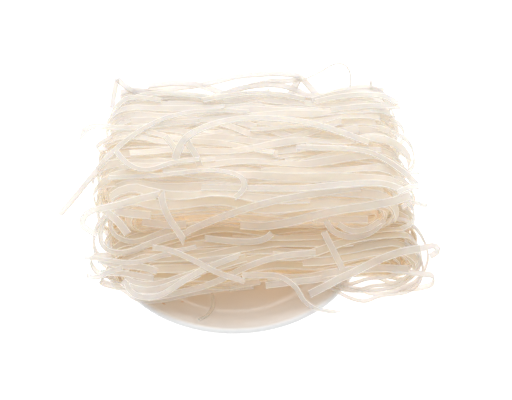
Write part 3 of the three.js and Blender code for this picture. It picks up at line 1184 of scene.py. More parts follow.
# Strands that can be told apart in the photo. Points were picked there by eye, and most were turned into
# places in the part's frame by a scratch script that knew the camera.
LOOSE_ROUTES = (
    # strands that turn round the left end and run back into the groove
    leaning(
        4.0, (-70.5, -23.5, 68.8), (-72.7, -26, 63.6), (-71.6, -27.5, 58.3), (-67.6, -29, 54.9),
        (-61.5, -30, 53), (-54.7, -30, 53.8), (-46.3, -29.5, 57.6), (-37.3, -29, 61.8),
        twist_degrees=(60.0, 10.0),
    ),
    leaning(
        4.2, (-73.5, -24, 68.3), (-77.2, -26, 62.6), (-78.6, -28, 56.8), (-77.7, -30, 51.5),
        (-74, -32, 48.1), (-67.8, -33.5, 47.2), (-60.2, -33.5, 48.5), (-51.9, -32.5, 52.2),
        (-43.6, -31.5, 55.6), (-35.4, -30.5, 58), (-25.8, -30, 60.9), twist_degrees=(60.0, 0.0),
    ),
    # cut ends in the groove between the hanks
    leaning(4.8, (-54.1, -27, 66.4), (-46.4, -28, 65.8), (-36.4, -28.5, 65), (-28.2, -28, 65.3)),
    leaning(5.0, (-69.3, -24, 72.2), (-59.7, -26, 72.1), (-48.5, -27, 71.9)),
    leaning(4.6, (46.1, -27, 68.5), (62.5, -27.5, 68.6), (79.1, -27, 68.1)),
    leaning(4.8, (-75, -22, 70), (-68, -26, 66), (-62, -31, 60)),
    # bows that hang from the upper hank into the groove
    leaning(
        3.8, (54.4, -26, 65.8), (58.1, -28, 60.2), (65.9, -29, 56.1), (74.8, -29, 56.1), (83, -28, 60.2),
        (89.3, -25, 65.6),
    ),
    leaning(3.6, (61.7, -25, 62.2), (68.9, -27, 58.8), (78.4, -26, 59), (86.6, -24, 63.8)),
    leaning(
        4.0, (-17.2, -30, 55.5), (-7.1, -31, 54.8), (3.6, -32, 54.5), (13.1, -32, 55), (19, -31, 56.5),
        (22.6, -30, 59.7),
    ),
    # shorter stray at the left
    lying(
        4.6, (-94.4, 38.9, 75.5), (-91.6, 41.3, 77.2), (-86.8, 42.8, 78.6), (-80.2, 42, 79.2),
        (-72, 40.4, 79.5), (-62.3, 40.2, 79.5), (-51.1, 41.9, 79.5), (-40, 44.2, 79.5),
        (-21.5, 46.5, 79.5), mitre=(1.4, 0.0),
    ),
    # small strands that lie across the top under the strays
    lying(4.0, (-41.2, 30.7, 81), (-37.9, 24.5, 81), (-33.4, 17, 80.5)),
    lying(4.2, (-29.6, 30.7, 81), (-26.3, 21.8, 81), (-22.4, 13.5, 80.5), (-20.5, 6.2, 80)),
    # long stray over the top and out into the air at the left
    lying(
        3.8, (-81.6, 5.8, 77.5), (-74.7, 17.9, 77.5), (-60.1, 34.5, 79.5), (-45.1, 47.3, 79.5),
        (-29.5, 53.7, 79.5), (-10.5, 55.9, 79.5), (8.6, 54.7, 79.5),
    ),
    free(
        3.6, (-103.5, -19, 64.1), (-94.8, -9, 69.2), (-84.3, 1, 77.5), (-76.7, 13.6, 78.6),
        (-72.4, 18.8, 79.6),
    ),
    # bowed strand on top that ends in a square cut
    lying(
        5.2, (-35, 12, 79), (-33, 20, 80), (-29, 29, 80), (-18, 39, 80), (3, 47, 80), (36, 46, 80),
        (59, 38, 80), (81, 26, 80),
    ),
    # long strand that climbs the front edge to the right
    leaning(
        4.3, (-27.7, -32, 63), (-18.1, -31, 68.2), (-6, -30, 73.8), (11.9, -27, 79.3), (29.7, -24, 82.4),
        (47.6, -21, 83.6), (62.7, -18, 83.8), (74.7, -16, 83.5), mitre=(0.4, 0.0),
    ),
    # long strand on top that ends in a square cut at its left
    lying(5.4, (-19, -11, 79), (10, -12, 79), (39, -12, 79), (63, -9, 79), (87, -7, 78), (99, -9, 75)),
    # hook on top
    lying(
        3.6, (-74, -3, 79), (-44, -1, 79), (-14, 2, 80), (-2, 0, 80), (5, -6, 81), (6, -13, 80),
        (0, -21, 79),
    ),
    # small strands that cross the top
    lying(
        3.8, (-70, 20, 78.5), (-64.8, 13, 76.8), (-57.3, 8, 75.7), (-49.5, 7, 75.9), (-35.8, 12, 76.9),
        (-20.7, 14, 77.5),
    ),
    # cut ends at the right of the top
    lying(5.0, (59.3, 57.4, 78.5), (75.1, 60.3, 78.5), (90.8, 61.4, 78.5), (102.8, 61.8, 77.5)),
    lying(4.6, (39.8, 22.4, 80), (64, 21.1, 80), (88.2, 19.9, 80)),
    # strand that leaves the top at the right and folds back
    lying(
        4.4, (37.4, 22, 80), (61, 21.1, 80), (71.3, 20.2, 80), (81.4, 17.3, 80), (91.7, 10.7, 79.5),
        (99.3, 4.1, 78.5), (104.4, 0, 77), (108.7, -4.8, 75), mitre=(0.0, 0.6),
    ),
    lying(4.2, (108.3, -6.8, 75.5), (103.8, -8.2, 76), (100.3, -9.8, 76), (95.9, -13.3, 76.5)),
    # strand that turns round the left end and is folded to a V over the front edge
    leaning(
        4.5, (-80.4, -27, 54.8), (-85.3, -26, 58.5), (-88.5, -25, 61.1), (-88.7, -24, 64.4),
        (-87.2, -23, 67.3), (-83.3, -22, 70.2), (-77.2, -21, 71.6), (-68.4, -20, 73.2),
        (-56.8, -18, 75.6), (-44, -16, 77.8), twist_degrees=(55.0, 0.0), mitre=(0.0, 0.9),
    ),
    leaning(
        4.2, (-42.3, -15.5, 78), (-41.4, -20, 74.9), (-39.2, -24.5, 70.8), (-35.5, -28.5, 65.7),
        (-32, -31, 61), (-28.9, -34, 57), mitre=(-0.9, -0.9),
    ),
    # broad strand along the front edge and up over the right end
    leaning(
        5.2, (3.7, -31, 67.6), (16.6, -31, 66.7), (33.1, -30, 69.1), (48.9, -28, 72.9),
        (62.3, -26, 75.1), (77.7, -23, 75.4), (95.7, -18, 75.3), (103.8, -13, 74.5),
    ),
    # short strand that crosses the lower hank
    leaning(4.0, (53, -27, 58), (58, -35, 52), (64, -45, 45)),
    # strands that lie along the back edge
    lying(4.8, (47.8, 66, 79.3), (59.9, 69, 81.3), (72.7, 71, 82.6), (85.5, 71, 83), (96.6, 66, 81.4)),
    lying(
        4.8, (50.2, 64, 79.8), (64.6, 66.5, 81.8), (80.6, 67.5, 82.6), (93.3, 66, 82.2),
        (101.1, 61, 80.5),
    ),
    lying(4.8, (-69.7, 63, 80.8), (-57, 67, 83.1), (-42.7, 69, 83), (-26.7, 68, 82.2), (-7.4, 64, 81.9)),
    lying(4.6, (-20.2, 64, 81), (-7.4, 67, 81.8), (8.6, 69, 82.6), (27.8, 68, 82.6), (43.7, 64, 81.9)),
    lying(4.4, (-73.6, 60, 79.2), (-68.2, 65, 81.2), (-60.2, 66, 81.8), (-45.8, 64, 81)),
    # arches that stand clear of the back edge
    free(
        4.6, (-72.4, 68, 80.9), (-56.1, 72, 82.4), (-43.1, 75, 81.5), (-25.4, 76, 83.1),
        (-12.7, 77, 85.6), (-0.1, 78, 88.8), (11.2, 78, 90.5), (29.4, 78, 91.3), (40.8, 77, 89.7),
        (45.8, 74, 85.6), (52.1, 69, 80.8),
    ),
    free(
        5.0, (-54.9, 74, 84.8), (-41.1, 76, 85.2), (-27.2, 76, 84.8), (-17.1, 74, 83.2),
        (-6.4, 70, 81.6), (6.2, 64, 81), (16.8, 58.5, 80.9),
    ),
    free(
        4.8, (-8.2, 68, 82.5), (1.8, 71, 84.9), (16.9, 73, 86.5), (28.2, 73, 86.1), (38.2, 71, 84.1),
        (48.2, 66, 81),
    ),
    free(
        3.0, (8.7, 74, 84.8), (16.9, 75.5, 86), (23.2, 76, 87.2), (32, 76, 87.2), (40.8, 76.5, 88.4),
        facing=Facing.LEANING,
    ),
    free(4.6, (19.4, 71, 84.1), (22.5, 65, 81.8), (26.8, 57, 80.6), (30.5, 51.5, 79.6)),
    free(4.8, (40.8, 77, 89.7), (38.3, 75, 85.6), (35.1, 69, 82.5), (33.1, 60.5, 80.8)),
    free(
        4.8, (45.6, 63, 81.1), (56.4, 67, 82.6), (69.6, 71, 84.5), (82.9, 73, 84.8), (89.7, 70.5, 83.7),
        (95.2, 65, 81), (98.6, 58, 79.7),
    ),
    # thin loop high over the back edge
    looped(
        2.8, (42.7, 76, 88.1), (48.3, 77, 90.5), (54.5, 78, 93.7), (60, 79, 97.4), (65, 79.5, 98.6),
        (69.4, 79, 97), (72, 77, 92.9), (72.2, 73, 85.7), runs=Width.LEANING, aloft=True,
    ),
    # pointed fold at the back left corner
    free(3.0, (-77, 60, 78.7), (-76, 68, 82.5), (-74.2, 76, 88.9)),
    free(
        4.2, (-74.2, 76, 88.9), (-69.9, 74, 85.6), (-64.2, 71, 83.3), (-53.5, 67.5, 81.3),
        (-38.3, 65, 81),
    ),
    free(
        5.0, (-71.8, 70, 82.5), (-66.1, 71.5, 83.2), (-59.2, 71.5, 82.8), (-47.1, 67.5, 82.1),
        (-34.5, 63.5, 81.5), (-12.5, 59.5, 80.8),
    ),
    # short sprigs at the back right corner and at the left end
    free(1.8, (85.4, 72, 84), (85.3, 73, 86.5), (85.2, 74, 89.3)),
    free(2.4, (83.5, 71.5, 84.5), (88.5, 72, 84), (93.6, 72, 84)),
    free(3.0, (-75.1, 33, 78.9), (-80, 31, 77.4), (-84.9, 29, 74.3)),
    free(3.4, (-74.7, 25, 77.2), (-78.2, 24, 77.3), (-82.9, 22, 78.3)),
    # loops and strays at the right end of the upper hank
    looped(
        3.6, (96.5, 36, 80.3), (103.9, 34, 77.2), (108.6, 33, 71.4), (111, 32, 63), (110.8, 31, 56.3),
        (106.2, 30, 50.3),
    ),
    looped(4.4, (94, 50, 77.5), (101, 50, 75.5), (105, 49, 70), (105.5, 48, 63), (101, 47, 57)),
    held(3.0, (100.5, 12, 69.4), (105.8, 10.5, 70.4), (112.3, 9.5, 71.8)),
    held(2.6, (96.7, -10, 68.2), (102.5, -12, 68.5), (107.9, -12.5, 67.7), (115.1, -13.5, 65.8)),
    looped(4.6, (92, -3, 79), (100, -4, 78), (105.5, -6, 73), (106.5, -8, 66), (101, -9, 60)),
    looped(4.4, (94, -15, 76), (101.5, -16.5, 73.5), (106.5, -18, 67), (106.5, -19, 57), (99, -20, 52)),
    # cut end that hangs before the lower hank and turns back at the far right
    leaning(4.8, (20, -46, 40), (39, -46, 38), (63, -44, 42), (88, -42, 42), (104, -41, 40)),
    leaning(
        4.8, (44.5, -55, 33.6), (53.9, -52, 37.4), (63.1, -48.5, 41), (68.7, -46.5, 42.3),
        (77.4, -43.5, 45.4), (86, -41, 48.6), (99, -38, 51.9), (110.3, -35, 51.7),
    ),
    free(
        3.8, (105.5, -36, 51.6), (112.4, -34, 51.1), (119.1, -32.5, 51.4), (121.4, -33, 47.5),
        (116.9, -34.5, 44.2), facing=Facing.LEANING, twist_degrees=(0.0, 45.0),
    ),
    # cut ends at the lower left
    leaning(
        4.2, (-79.6, -40, 47.7), (-68.6, -42.5, 46.6), (-57, -44, 46.6), (-50.2, -45, 46.2),
        (-44.4, -46.5, 45),
    ),
    leaning(
        3.8, (-77.9, -43, 39.9), (-68.8, -44.5, 41.6), (-60.5, -46, 42), (-53, -47.5, 41.6),
        (-46.4, -48.5, 41.3),
    ),
    leaning(
        3.2, (-87.3, -38, 47.6), (-81, -39, 48.1), (-72, -41, 48.6), (-62.4, -43, 48.8),
        (-55.5, -43.5, 49.9), (-48.7, -42.5, 51.2), (-41.9, -41, 52.8), (-36.6, -40, 52.7),
        twist_degrees=(50.0, 0.0),
    ),
    leaning(
        3.4, (-86.1, -42, 36.6), (-79.5, -43.5, 37.2), (-73.1, -43, 41.1), (-65.2, -43, 44.2),
        twist_degrees=(40.0, 0.0),
    ),
    leaning(2.8, (-36.8, -36, 51.2), (-29.9, -36.5, 52.7), (-21.7, -36, 54.8)),
    leaning(3.6, (-20.5, -40, 47), (-9.5, -40.5, 49.3), (3.1, -40.5, 51.8)),
    # strands that bulge at the lower left
    leaning(
        4.6, (-62.8, -46, 38.2), (-57.3, -48, 36.8), (-50.5, -49, 36.4), (-40.9, -48.5, 37.4),
        (-30, -46.5, 40.2), (-16.4, -43.5, 43.5),
    ),
    leaning(
        4.6, (-64.6, -46.5, 36.9), (-61.5, -48.5, 35.3), (-56, -50.5, 34.5), (-49.1, -51, 34),
        (-41, -50, 35), (-30, -47.5, 38.3), (-19.8, -45, 42.1),
    ),
    leaning(
        3.8, (-50.5, -54.5, 30.3), (-40.9, -54, 31.8), (-31.4, -52.5, 33.2), (-19.1, -50, 35),
        (-6.2, -46.5, 38.7), (5.4, -43, 43.5), (17.7, -40, 47.2), (31.3, -37.5, 49.2), (48.3, -36.5, 50),
    ),
    leaning(
        3.6, (-62.2, -47, 36.2), (-60.7, -49.5, 33.4), (-57.4, -52, 31.8), (-52.6, -53.5, 31),
        (-47.1, -53.5, 31), (-40.9, -52.5, 32.7), (-34.1, -50.5, 36.5), (-27.2, -48, 40.4),
        (-20.4, -45.5, 43.7), (-9.5, -42.5, 47.4), (3.4, -39, 50.7), mitre=(0.0, 1.3),
    ),
    held(
        4.2, (-79.4, -46, 35.1), (-76, -47, 33.6), (-69.1, -48.5, 33.3), (-64.3, -50.5, 31.9),
        (-58.8, -54, 29.7), (-53.1, -56.5, 30), (-43.5, -57, 31.1), (-32.6, -55.5, 33),
        (-23.2, -53.5, 33.8), (-9.6, -50.5, 33.5), (4, -48, 34.3), (15.6, -46, 35.1),
        facing=Facing.LEANING,
    ),
    # wavy strands across the lower hank, one of which hangs over the rim
    leaning(
        3.4, (-47.3, -33, 51.3), (-36.5, -36, 51.7), (-22.9, -40.5, 47.9), (-9.3, -45, 42.5),
        (6.5, -48, 38.1),
    ),
    leaning(
        3.6, (5, -47, 42), (16.4, -47.5, 42.6), (26.9, -48.5, 42.3), (36, -53, 38.5), (42, -59.5, 32.3),
        (49.4, -64, 30.6), (60.6, -66, 29.9), twist_degrees=(0.0, 60.0), mitre=(0.0, 1.2),
    ),
    # loops round the left end of the lower hank
    looped(
        4.0, (-68, -36, 47), (-82, -37, 47.3), (-85, -38, 45.8), (-84.5, -40, 42.7), (-81.6, -42, 38.7),
        (-68, -45, 36), aloft=True,
    ),
    looped(
        4.2, (-64, -40, 45), (-78.8, -44, 35.9), (-79.6, -45.5, 34.7), (-78.1, -46.5, 33.6),
        (-74, -47.5, 32.9), (-68.5, -48.5, 32.3), (-50, -50, 38), aloft=True,
    ),
    looped(
        4.2, (-60, -37, 47), (-71, -40, 44), (-76, -43, 39.5), (-73, -45, 36.5), (-62, -47.5, 36),
        (-46, -49, 40), aloft=True,
    ),
    # slack loops that hang past the rim at the lower right
    looped(
        3.0, (88, -12, 52), (102.8, -14, 54.3), (106.8, -17, 53.1), (111, -20, 50.2), (115.6, -24, 42.1),
        (117, -27, 36.5), (116, -30, 30.8), (112, -34, 24.4), (105.9, -37, 21.4), (92, -40, 21.5),
        aloft=True,
    ),
    looped(
        2.6, (86, -20, 52), (100.5, -22, 52.2), (108.5, -25, 46.7), (112.4, -29, 39.6),
        (110.8, -34, 31.7), (103, -39, 26.4), (90.8, -43, 24.6), (80.4, -45, 25.9), (72.5, -45, 27.7),
        (62, -44, 31), aloft=True,
    ),
    looped(
        4.0, (93, -41, 39.3), (102.5, -42, 38.7), (112.9, -41, 35.8), (119.4, -39, 31.8),
        (119.4, -39, 24.6), (111.7, -40, 22.1), (100.1, -41, 22.3), aloft=True,
    ),
    looped(
        2.4, (54, -46, 31.5), (63.3, -49, 27.7), (69.1, -53, 27.8), (78.3, -52, 23.9), (86.9, -48, 23.9),
        (105.5, -42, 21.6), (112.3, -37, 25.1), (113.2, -32, 33.9), (103, -28, 48), aloft=True,
    ),
    looped(
        2.6, (57, -44, 31.5), (66.4, -47, 28.2), (76.7, -46, 26.1), (84.6, -46, 23.4), (100, -42, 22.5),
        (111, -37, 26), (113.9, -32, 33), (108.9, -27, 40.1), (94, -25, 51), aloft=True,
    ),
    looped(
        2.6, (60, -43, 31.5), (69.4, -44, 30.2), (79, -42, 32.4), (93.4, -40, 32.9), (104.3, -36, 35.6),
        (109.6, -32, 41.9), (102, -29, 48), aloft=True,
    ),
    looped(
        2.4, (62, -45, 30.5), (70.6, -47, 27.3), (82.7, -44, 28.4), (96.7, -41, 27.7),
        (106.8, -37, 33.2), (111.5, -32, 40.1), (102, -27, 50), aloft=True,
    ),
    looped(
        3.0, (72, -28, 34), (86, -36, 28), (98, -37, 23), (109, -34, 28), (111, -28, 40), (98, -22, 51),
        aloft=True,
    ),
    # cut ends under the front edge of the lower hank
    held(
        4.2, (18.8, -53, 39.1), (26.7, -52, 39.5), (34.9, -51, 39.9), (48.1, -50, 40.9),
        (61.4, -48, 41.8), facing=Facing.LEANING,
    ),
    held(
        3.6, (-3.2, -46, 28.2), (1.1, -45, 28), (6.3, -45, 28.6), (11.5, -44, 28.4),
        facing=Facing.LEANING,
    ),
    # faint curl that hangs down into the dish
    held(
        2.4, (-18.4, -26, 9.1), (-14.6, -30.5, 7.7), (-12.9, -38.4, 8.3), (-13.9, -47, 10.8),
        (-16.9, -56.9, 15.9), (-20.8, -63.8, 20.8),
    ),
    # big arcs that join both hanks at the left end
    looped(
        5.0, (-56, -20, 75), (-72, -24, 72), (-82, -27, 60), (-83, -31, 46), (-74, -36, 35),
        (-56, -38, 32),
    ),
    looped(5.0, (-52, 0, 78), (-70, 0, 76), (-82, -1, 62), (-83, -4, 46), (-76, -8, 34), (-58, -9, 31)),
    looped(5.0, (-52, 24, 78), (-72, 23, 75), (-83, 21, 60), (-82, 17, 42), (-72, 13, 33), (-54, 11, 31)),
    looped(
        4.4, (-64, -8, 66), (-78.4, -13, 55), (-82.4, -20, 51), (-84.3, -25, 45), (-82.6, -29, 39.6),
        (-77.6, -33, 37.7), (-62, -36, 35),
    ),
)


@dataclass
class LooseStrands:
    """Single strands laid over the finished hanks.

    Attributes:
        view: Map of how near the viewer the strands reach.
        seed: Seed of the random draws.
        spacing: Distance between stations, mm.
        painted_shade_height: Height at which a free strand starts to take painted shade and turn duller,
            mm.
        painted_shade_rise: Rise over which its painted shade becomes full, mm.
        drop: How far a strand may be let down to reach a support, mm.
        gap: Room between a strand and its support, mm.
        sink: How far a strand may sink into its support where it is smoothed, mm.
        slackness: Curvature of the deepest sag that a strand takes up, 1/mm.
    """

    view: ViewMap
    seed: int = 7
    spacing: float = 2.6
    painted_shade_height: float = 79.0
    painted_shade_rise: float = 5.0
    drop: float = 11.0
    gap: float = 0.1
    sink: float = 0.3
    slackness: float = 0.006

    # range of a strand's thickness, mm, and middle and spread of its shade
    THICKNESS = (0.65, 0.85)
    TONE = (0.3, 0.6)
    # places across a strand at which its support is felt, as shares of its width
    FELT_SHARES = (-0.45, -0.2, 0.0, 0.2, 0.45)

    def lay(self, routes: tuple[LooseRoute, ...]) -> list[Strand]:
        """Lay all loose strands in order.

        Args:
            routes: The strands' routes.

        Returns:
            The strands.
        """
        random = np.random.default_rng(self.seed)
        strands = []
        for route in routes:
            strand = self._strand(route, random)
            self.view.add(strand)
            strands.append(strand)
        LOG.info("loose strands: %d laid", len(strands))
        return strands

    def _strand(self, route: LooseRoute, random: np.random.Generator) -> Strand:
        """Lay one loose strand.

        Args:
            route: Its route.
            random: Source of its shade and thickness.

        Returns:
            The strand.
        """
        points = through(np.array(route.places, dtype=float), self.spacing)
        thickness = random.uniform(*self.THICKNESS)
        across, outward = self._turned(points, route)
        if route.settles:
            points = self._let_down(points, across, route.width, thickness)
            across, outward = self._turned(points, route)
        # painted shade: a free strand turns duller the higher it stands over the hank
        painted_dullness = np.clip((points[:, 2] - self.painted_shade_height) / self.painted_shade_rise, 0, 1)
        return Strand(
            points=points,
            across=across,
            outward=outward,
            width=route.width,
            thickness=thickness,
            tone=random.normal(*self.TONE),
            painted_shade=painted_dullness * route.aloft,
            mitre=route.mitre,
        )

    @staticmethod
    def _turned(points: Array, route: LooseRoute) -> tuple[Array, Array]:
        """Work out which way the ribbon's width and flat side run.

        Args:
            points: The strand's middle line, mm.
            route: The route, which says how the ribbon is turned.

        Returns:
            Unit vectors across the ribbon and outward from its flat side.
        """
        travel = along(points)
        given = np.array(route.facing.value)[None, :]
        if isinstance(route.facing, Width):
            across = unit(given - travel * (travel @ given[0])[:, None])
        else:
            across = unit(np.cross(np.broadcast_to(given, travel.shape), travel))
        outward = np.cross(travel, across)
        angle = np.radians(np.linspace(*route.twist_degrees, len(points)))[:, None]
        turned = across * np.cos(angle) + outward * np.sin(angle)
        return turned, np.cross(travel, turned)

    def _let_down(self, points: Array, across: Array, width: float, thickness: float) -> Array:
        """Move a strand towards or away from the viewer until it rests on what lies behind it.

        Args:
            points: The strand's middle line, mm.
            across: Unit vectors along its width.
            width: Width of the ribbon, mm.
            thickness: Thickness of the ribbon, mm.

        Returns:
            The settled middle line.
        """
        nearer = self.view.nearer
        own = points @ nearer
        need = np.full(len(points), ViewMap.EMPTY)
        for share in self.FELT_SHARES:
            side = points + across * share * width
            need = np.maximum(need, self.view.read(side) - (side - points) @ nearer)
        borne = need > own - self.drop
        rest = np.where(borne, need + thickness / 2 + self.gap, own)
        level = bridge(rest, self.spacing, self.slackness)
        level = np.maximum(soften(level, 2), np.where(borne, rest - self.sink, ViewMap.EMPTY))
        return points + (soften(level, 1) - own)[:, None] * nearer[None, :]


# Dish


@dataclass
class Dish:
    """Shallow flared white dish, turned about its axis.

    Attributes:
        rim_radius: Outer radius of the rim, mm.
        height: Height of the rim, mm.
        base_radius: Radius of the flat base, mm.
        foot_height: Height of the straight foot, mm.
        rim_thickness: Thickness of the rounded rim, mm.
        floor_thickness: Thickness of the floor, mm.
        belly_radius: Radius at which the wall is fullest, mm.
        belly_rise: How far the wall has risen there, mm.
        well_radius: Radius of the flat floor inside, mm.
        sides: Facets round the axis.
    """

    rim_radius: float
    height: float
    base_radius: float = 42.0
    foot_height: float = 3.0
    rim_thickness: float = 3.4
    floor_thickness: float = 6.0
    belly_radius: float = 58.0
    belly_rise: float = 6.0
    well_radius: float = 28.0
    sides: int = 128

    # rounding of the foot: offsets from the base's edge, and from the foot's upper end, mm
    FOOT_EDGE = ((-1.2, 0.0), (-0.3, 0.3), (0.0, 1.0))
    FOOT_TOP = ((0.0, -0.6), (0.3, 0.0))
    # middle of the inner wall, from the belly's radius and the floor, mm
    SLOPE = (-2.0, 7.2)
    # from its middle, where the inner wall's upper bow pulls and how far in its lower bow pulls, mm
    SLOPE_PULL = (9.0, 4.95)
    WELL_PULL = 13.0
    # steps of the outer wall, of the inner wall above and below its middle, and of a half round rim
    OUTER_STEPS = 14
    SLOPE_STEPS = 8
    WELL_STEPS = 10
    RIM_STEPS = 8
    # steps of the rim's round that are taken before it runs softly into the inner wall
    RIM_TAKEN = 5

    def _profile(self) -> list[Pair]:
        """Half section of the dish from the middle of its base to the middle of its floor.

        Returns:
            Radius and height of each point, mm.
        """
        half_rim = self.rim_thickness / 2
        rim_middle = (self.rim_radius - half_rim, self.height - half_rim)
        floor = self.floor_thickness
        points = [(0.0, 0.0)]
        points += [(self.base_radius + out, up) for out, up in self.FOOT_EDGE]
        foot = [(self.base_radius + out, self.foot_height + up) for out, up in self.FOOT_TOP]
        belly = (self.belly_radius, self.foot_height + self.belly_rise)
        points += foot[:-1] + self._bow(foot[-1], belly, (self.rim_radius, rim_middle[1]), self.OUTER_STEPS)
        for step in range(1, self.RIM_TAKEN + 1):
            angle = math.pi * step / self.RIM_STEPS
            across, up = half_rim * math.cos(angle), half_rim * math.sin(angle)
            points.append((rim_middle[0] + across, rim_middle[1] + up))
        slope = (self.belly_radius + self.SLOPE[0], floor + self.SLOPE[1])
        upper_pull = (slope[0] + self.SLOPE_PULL[0], slope[1] + self.SLOPE_PULL[1])
        points += self._bow(points[-1], upper_pull, slope, self.SLOPE_STEPS)[1:-1]
        lower_pull = (slope[0] - self.WELL_PULL, floor)
        points += self._bow(slope, lower_pull, (self.well_radius, floor), self.WELL_STEPS)
        return points + [(self.well_radius * 0.5, floor), (0.0, floor)]

    @staticmethod
    def _bow(start: Pair, pull: Pair, end: Pair, steps: int) -> list[Pair]:
        """Points of a bowed line.

        Args:
            start: First point.
            pull: Point that the line bows towards.
            end: Last point.
            steps: Number of steps.

        Returns:
            The points, both ends included.
        """
        rows = []
        for step in range(steps + 1):
            t = step / steps
            near, middle, far = (1 - t) ** 2, 2 * t * (1 - t), t * t
            rows.append(tuple(near * a + middle * b + far * c for a, b, c in zip(start, pull, end)))
        return rows

    def build(self) -> bpy.types.Object:
        """Spin the profile into the dish.

        Returns:
            The dish's object.
        """
        work = bmesh.new()
        verts = [work.verts.new((radius * MM, 0.0, height * MM)) for radius, height in self._profile()]
        edges = [work.edges.new(pair) for pair in zip(verts, verts[1:])]
        bmesh.ops.spin(
            work,
            geom=verts + edges,
            cent=(0, 0, 0),
            axis=(0, 0, 1),
            angle=FULL_TURN,
            steps=self.sides,
            use_merge=True,
        )
        bmesh.ops.remove_doubles(work, verts=work.verts, dist=TINY)
        return rounded_piece("dish_shell", work)


# Finishes


BLACK: Colour = (0.0, 0.0, 0.0, 1.0)
WHITE: Colour = (1.0, 1.0, 1.0, 1.0)


class NodeSheet:
    """A node material while it is put together.

    Attributes:
        material: The material.
        nodes: Its nodes.
        shader: Its main shader.
    """

    def __init__(self, name: str) -> None:
        """Start a material of a given name."""
        self.material = bpy.data.materials.new(name)
        self.material.use_nodes = True
        self.nodes = self.material.node_tree.nodes
        self.shader = self.nodes["Principled BSDF"]

    def give(self, node: bpy.types.Node, inputs: Inputs) -> None:
        """Link sockets to a node's inputs, and set the inputs that have a constant value.

        Args:
            node: The node.
            inputs: What each input is given, by its name or number.
        """
        for name, given in inputs.items():
            if isinstance(given, Socket):
                self.material.node_tree.links.new(given, node.inputs[name])
            else:
                node.inputs[name].default_value = given

    def lay(self, kind: str, inputs: Inputs, output: str, **settings: str) -> Socket:
        """Add a node.

        Args:
            kind: Type of the node, without what all shader nodes start with.
            inputs: What each input is given, by its name or number.
            output: Name of the output that is wanted.
            settings: The node's own settings, which come before its inputs.

        Returns:
            The wanted output.
        """
        node = self.nodes.new("ShaderNode" + kind)
        for name, value in settings.items():
            setattr(node, name, value)
        self.give(node, inputs)
        return node.outputs[output]

    def mix(self, first: Given, second: Given, share: Given) -> Socket:
        """Blend two colours."""
        return self.lay("Mix", {"A": first, "B": second, "Factor": share}, "Result", data_type="RGBA")

    def remap(self, value: Socket, source: Pair = (0.0, 1.0), target: Pair = (0.0, 1.0)) -> Socket:
        """Move a value from one range to another.

        Args:
            value: The value.
            source: Both ends of its range.
            target: What these ends become.

        Returns:
            The moved value.
        """
        names = ("From Min", "From Max", "To Min", "To Max")
        return self.lay("MapRange", {"Value": value, **dict(zip(names, source + target))}, "Result")

    def noise(self, place: Socket, scale: float, detail: float = 2.0) -> Socket:
        """Cloudy values from 0 to 1."""
        return self.lay("TexNoise", {"Vector": place, "Scale": scale, "Detail": detail}, "Fac")

    def stretched(self, place: Socket, scale: Place) -> Socket:
        """Stretch the places at which a pattern is read."""
        return self.lay("Mapping", {"Vector": place, "Scale": scale}, "Vector")

    def reckon(self, operation: str, *terms: Given) -> Socket:
        """Reckon with numbers."""
        return self.lay("Math", dict(enumerate(terms)), "Value", operation=operation)

    def scaled(self, colour: Socket, share: Socket) -> Socket:
        """Make a colour brighter or darker."""
        return self.lay("VectorMath", {0: colour, "Scale": share}, "Vector", operation="SCALE")

    def ramp(self, value: Socket, stops: tuple[tuple[float, Colour], ...], kind: str = "LINEAR") -> Socket:
        """Turn a value into a colour.

        Args:
            value: The value.
            stops: Values and their colours, in order.
            kind: How colours pass into each other.

        Returns:
            The colour.
        """
        node = self.nodes.new("ShaderNodeValToRGB")
        node.color_ramp.interpolation = kind
        elements = node.color_ramp.elements
        for end in (0, -1):
            elements[end].position, elements[end].color = stops[end]
        for position, colour in stops[1:-1]:
            elements.new(position).color = colour
        self.give(node, {"Fac": value})
        return node.outputs["Color"]

    def bump(self, height: Socket, strength: float, distance: float) -> None:
        """Let a pattern roughen the surface.

        Args:
            height: The pattern.
            strength: Strength of the effect, from 0 to 1.
            distance: Height of the pattern, m.
        """
        inputs = {"Height": height, "Strength": strength, "Distance": distance}
        self.give(self.shader, {"Normal": self.lay("Bump", inputs, "Normal")})

    def blend(self, first: Socket, second: Socket, share: Given) -> Socket:
        """Blend two shaders."""
        return self.lay("MixShader", {1: first, 2: second, "Fac": share}, "Shader")


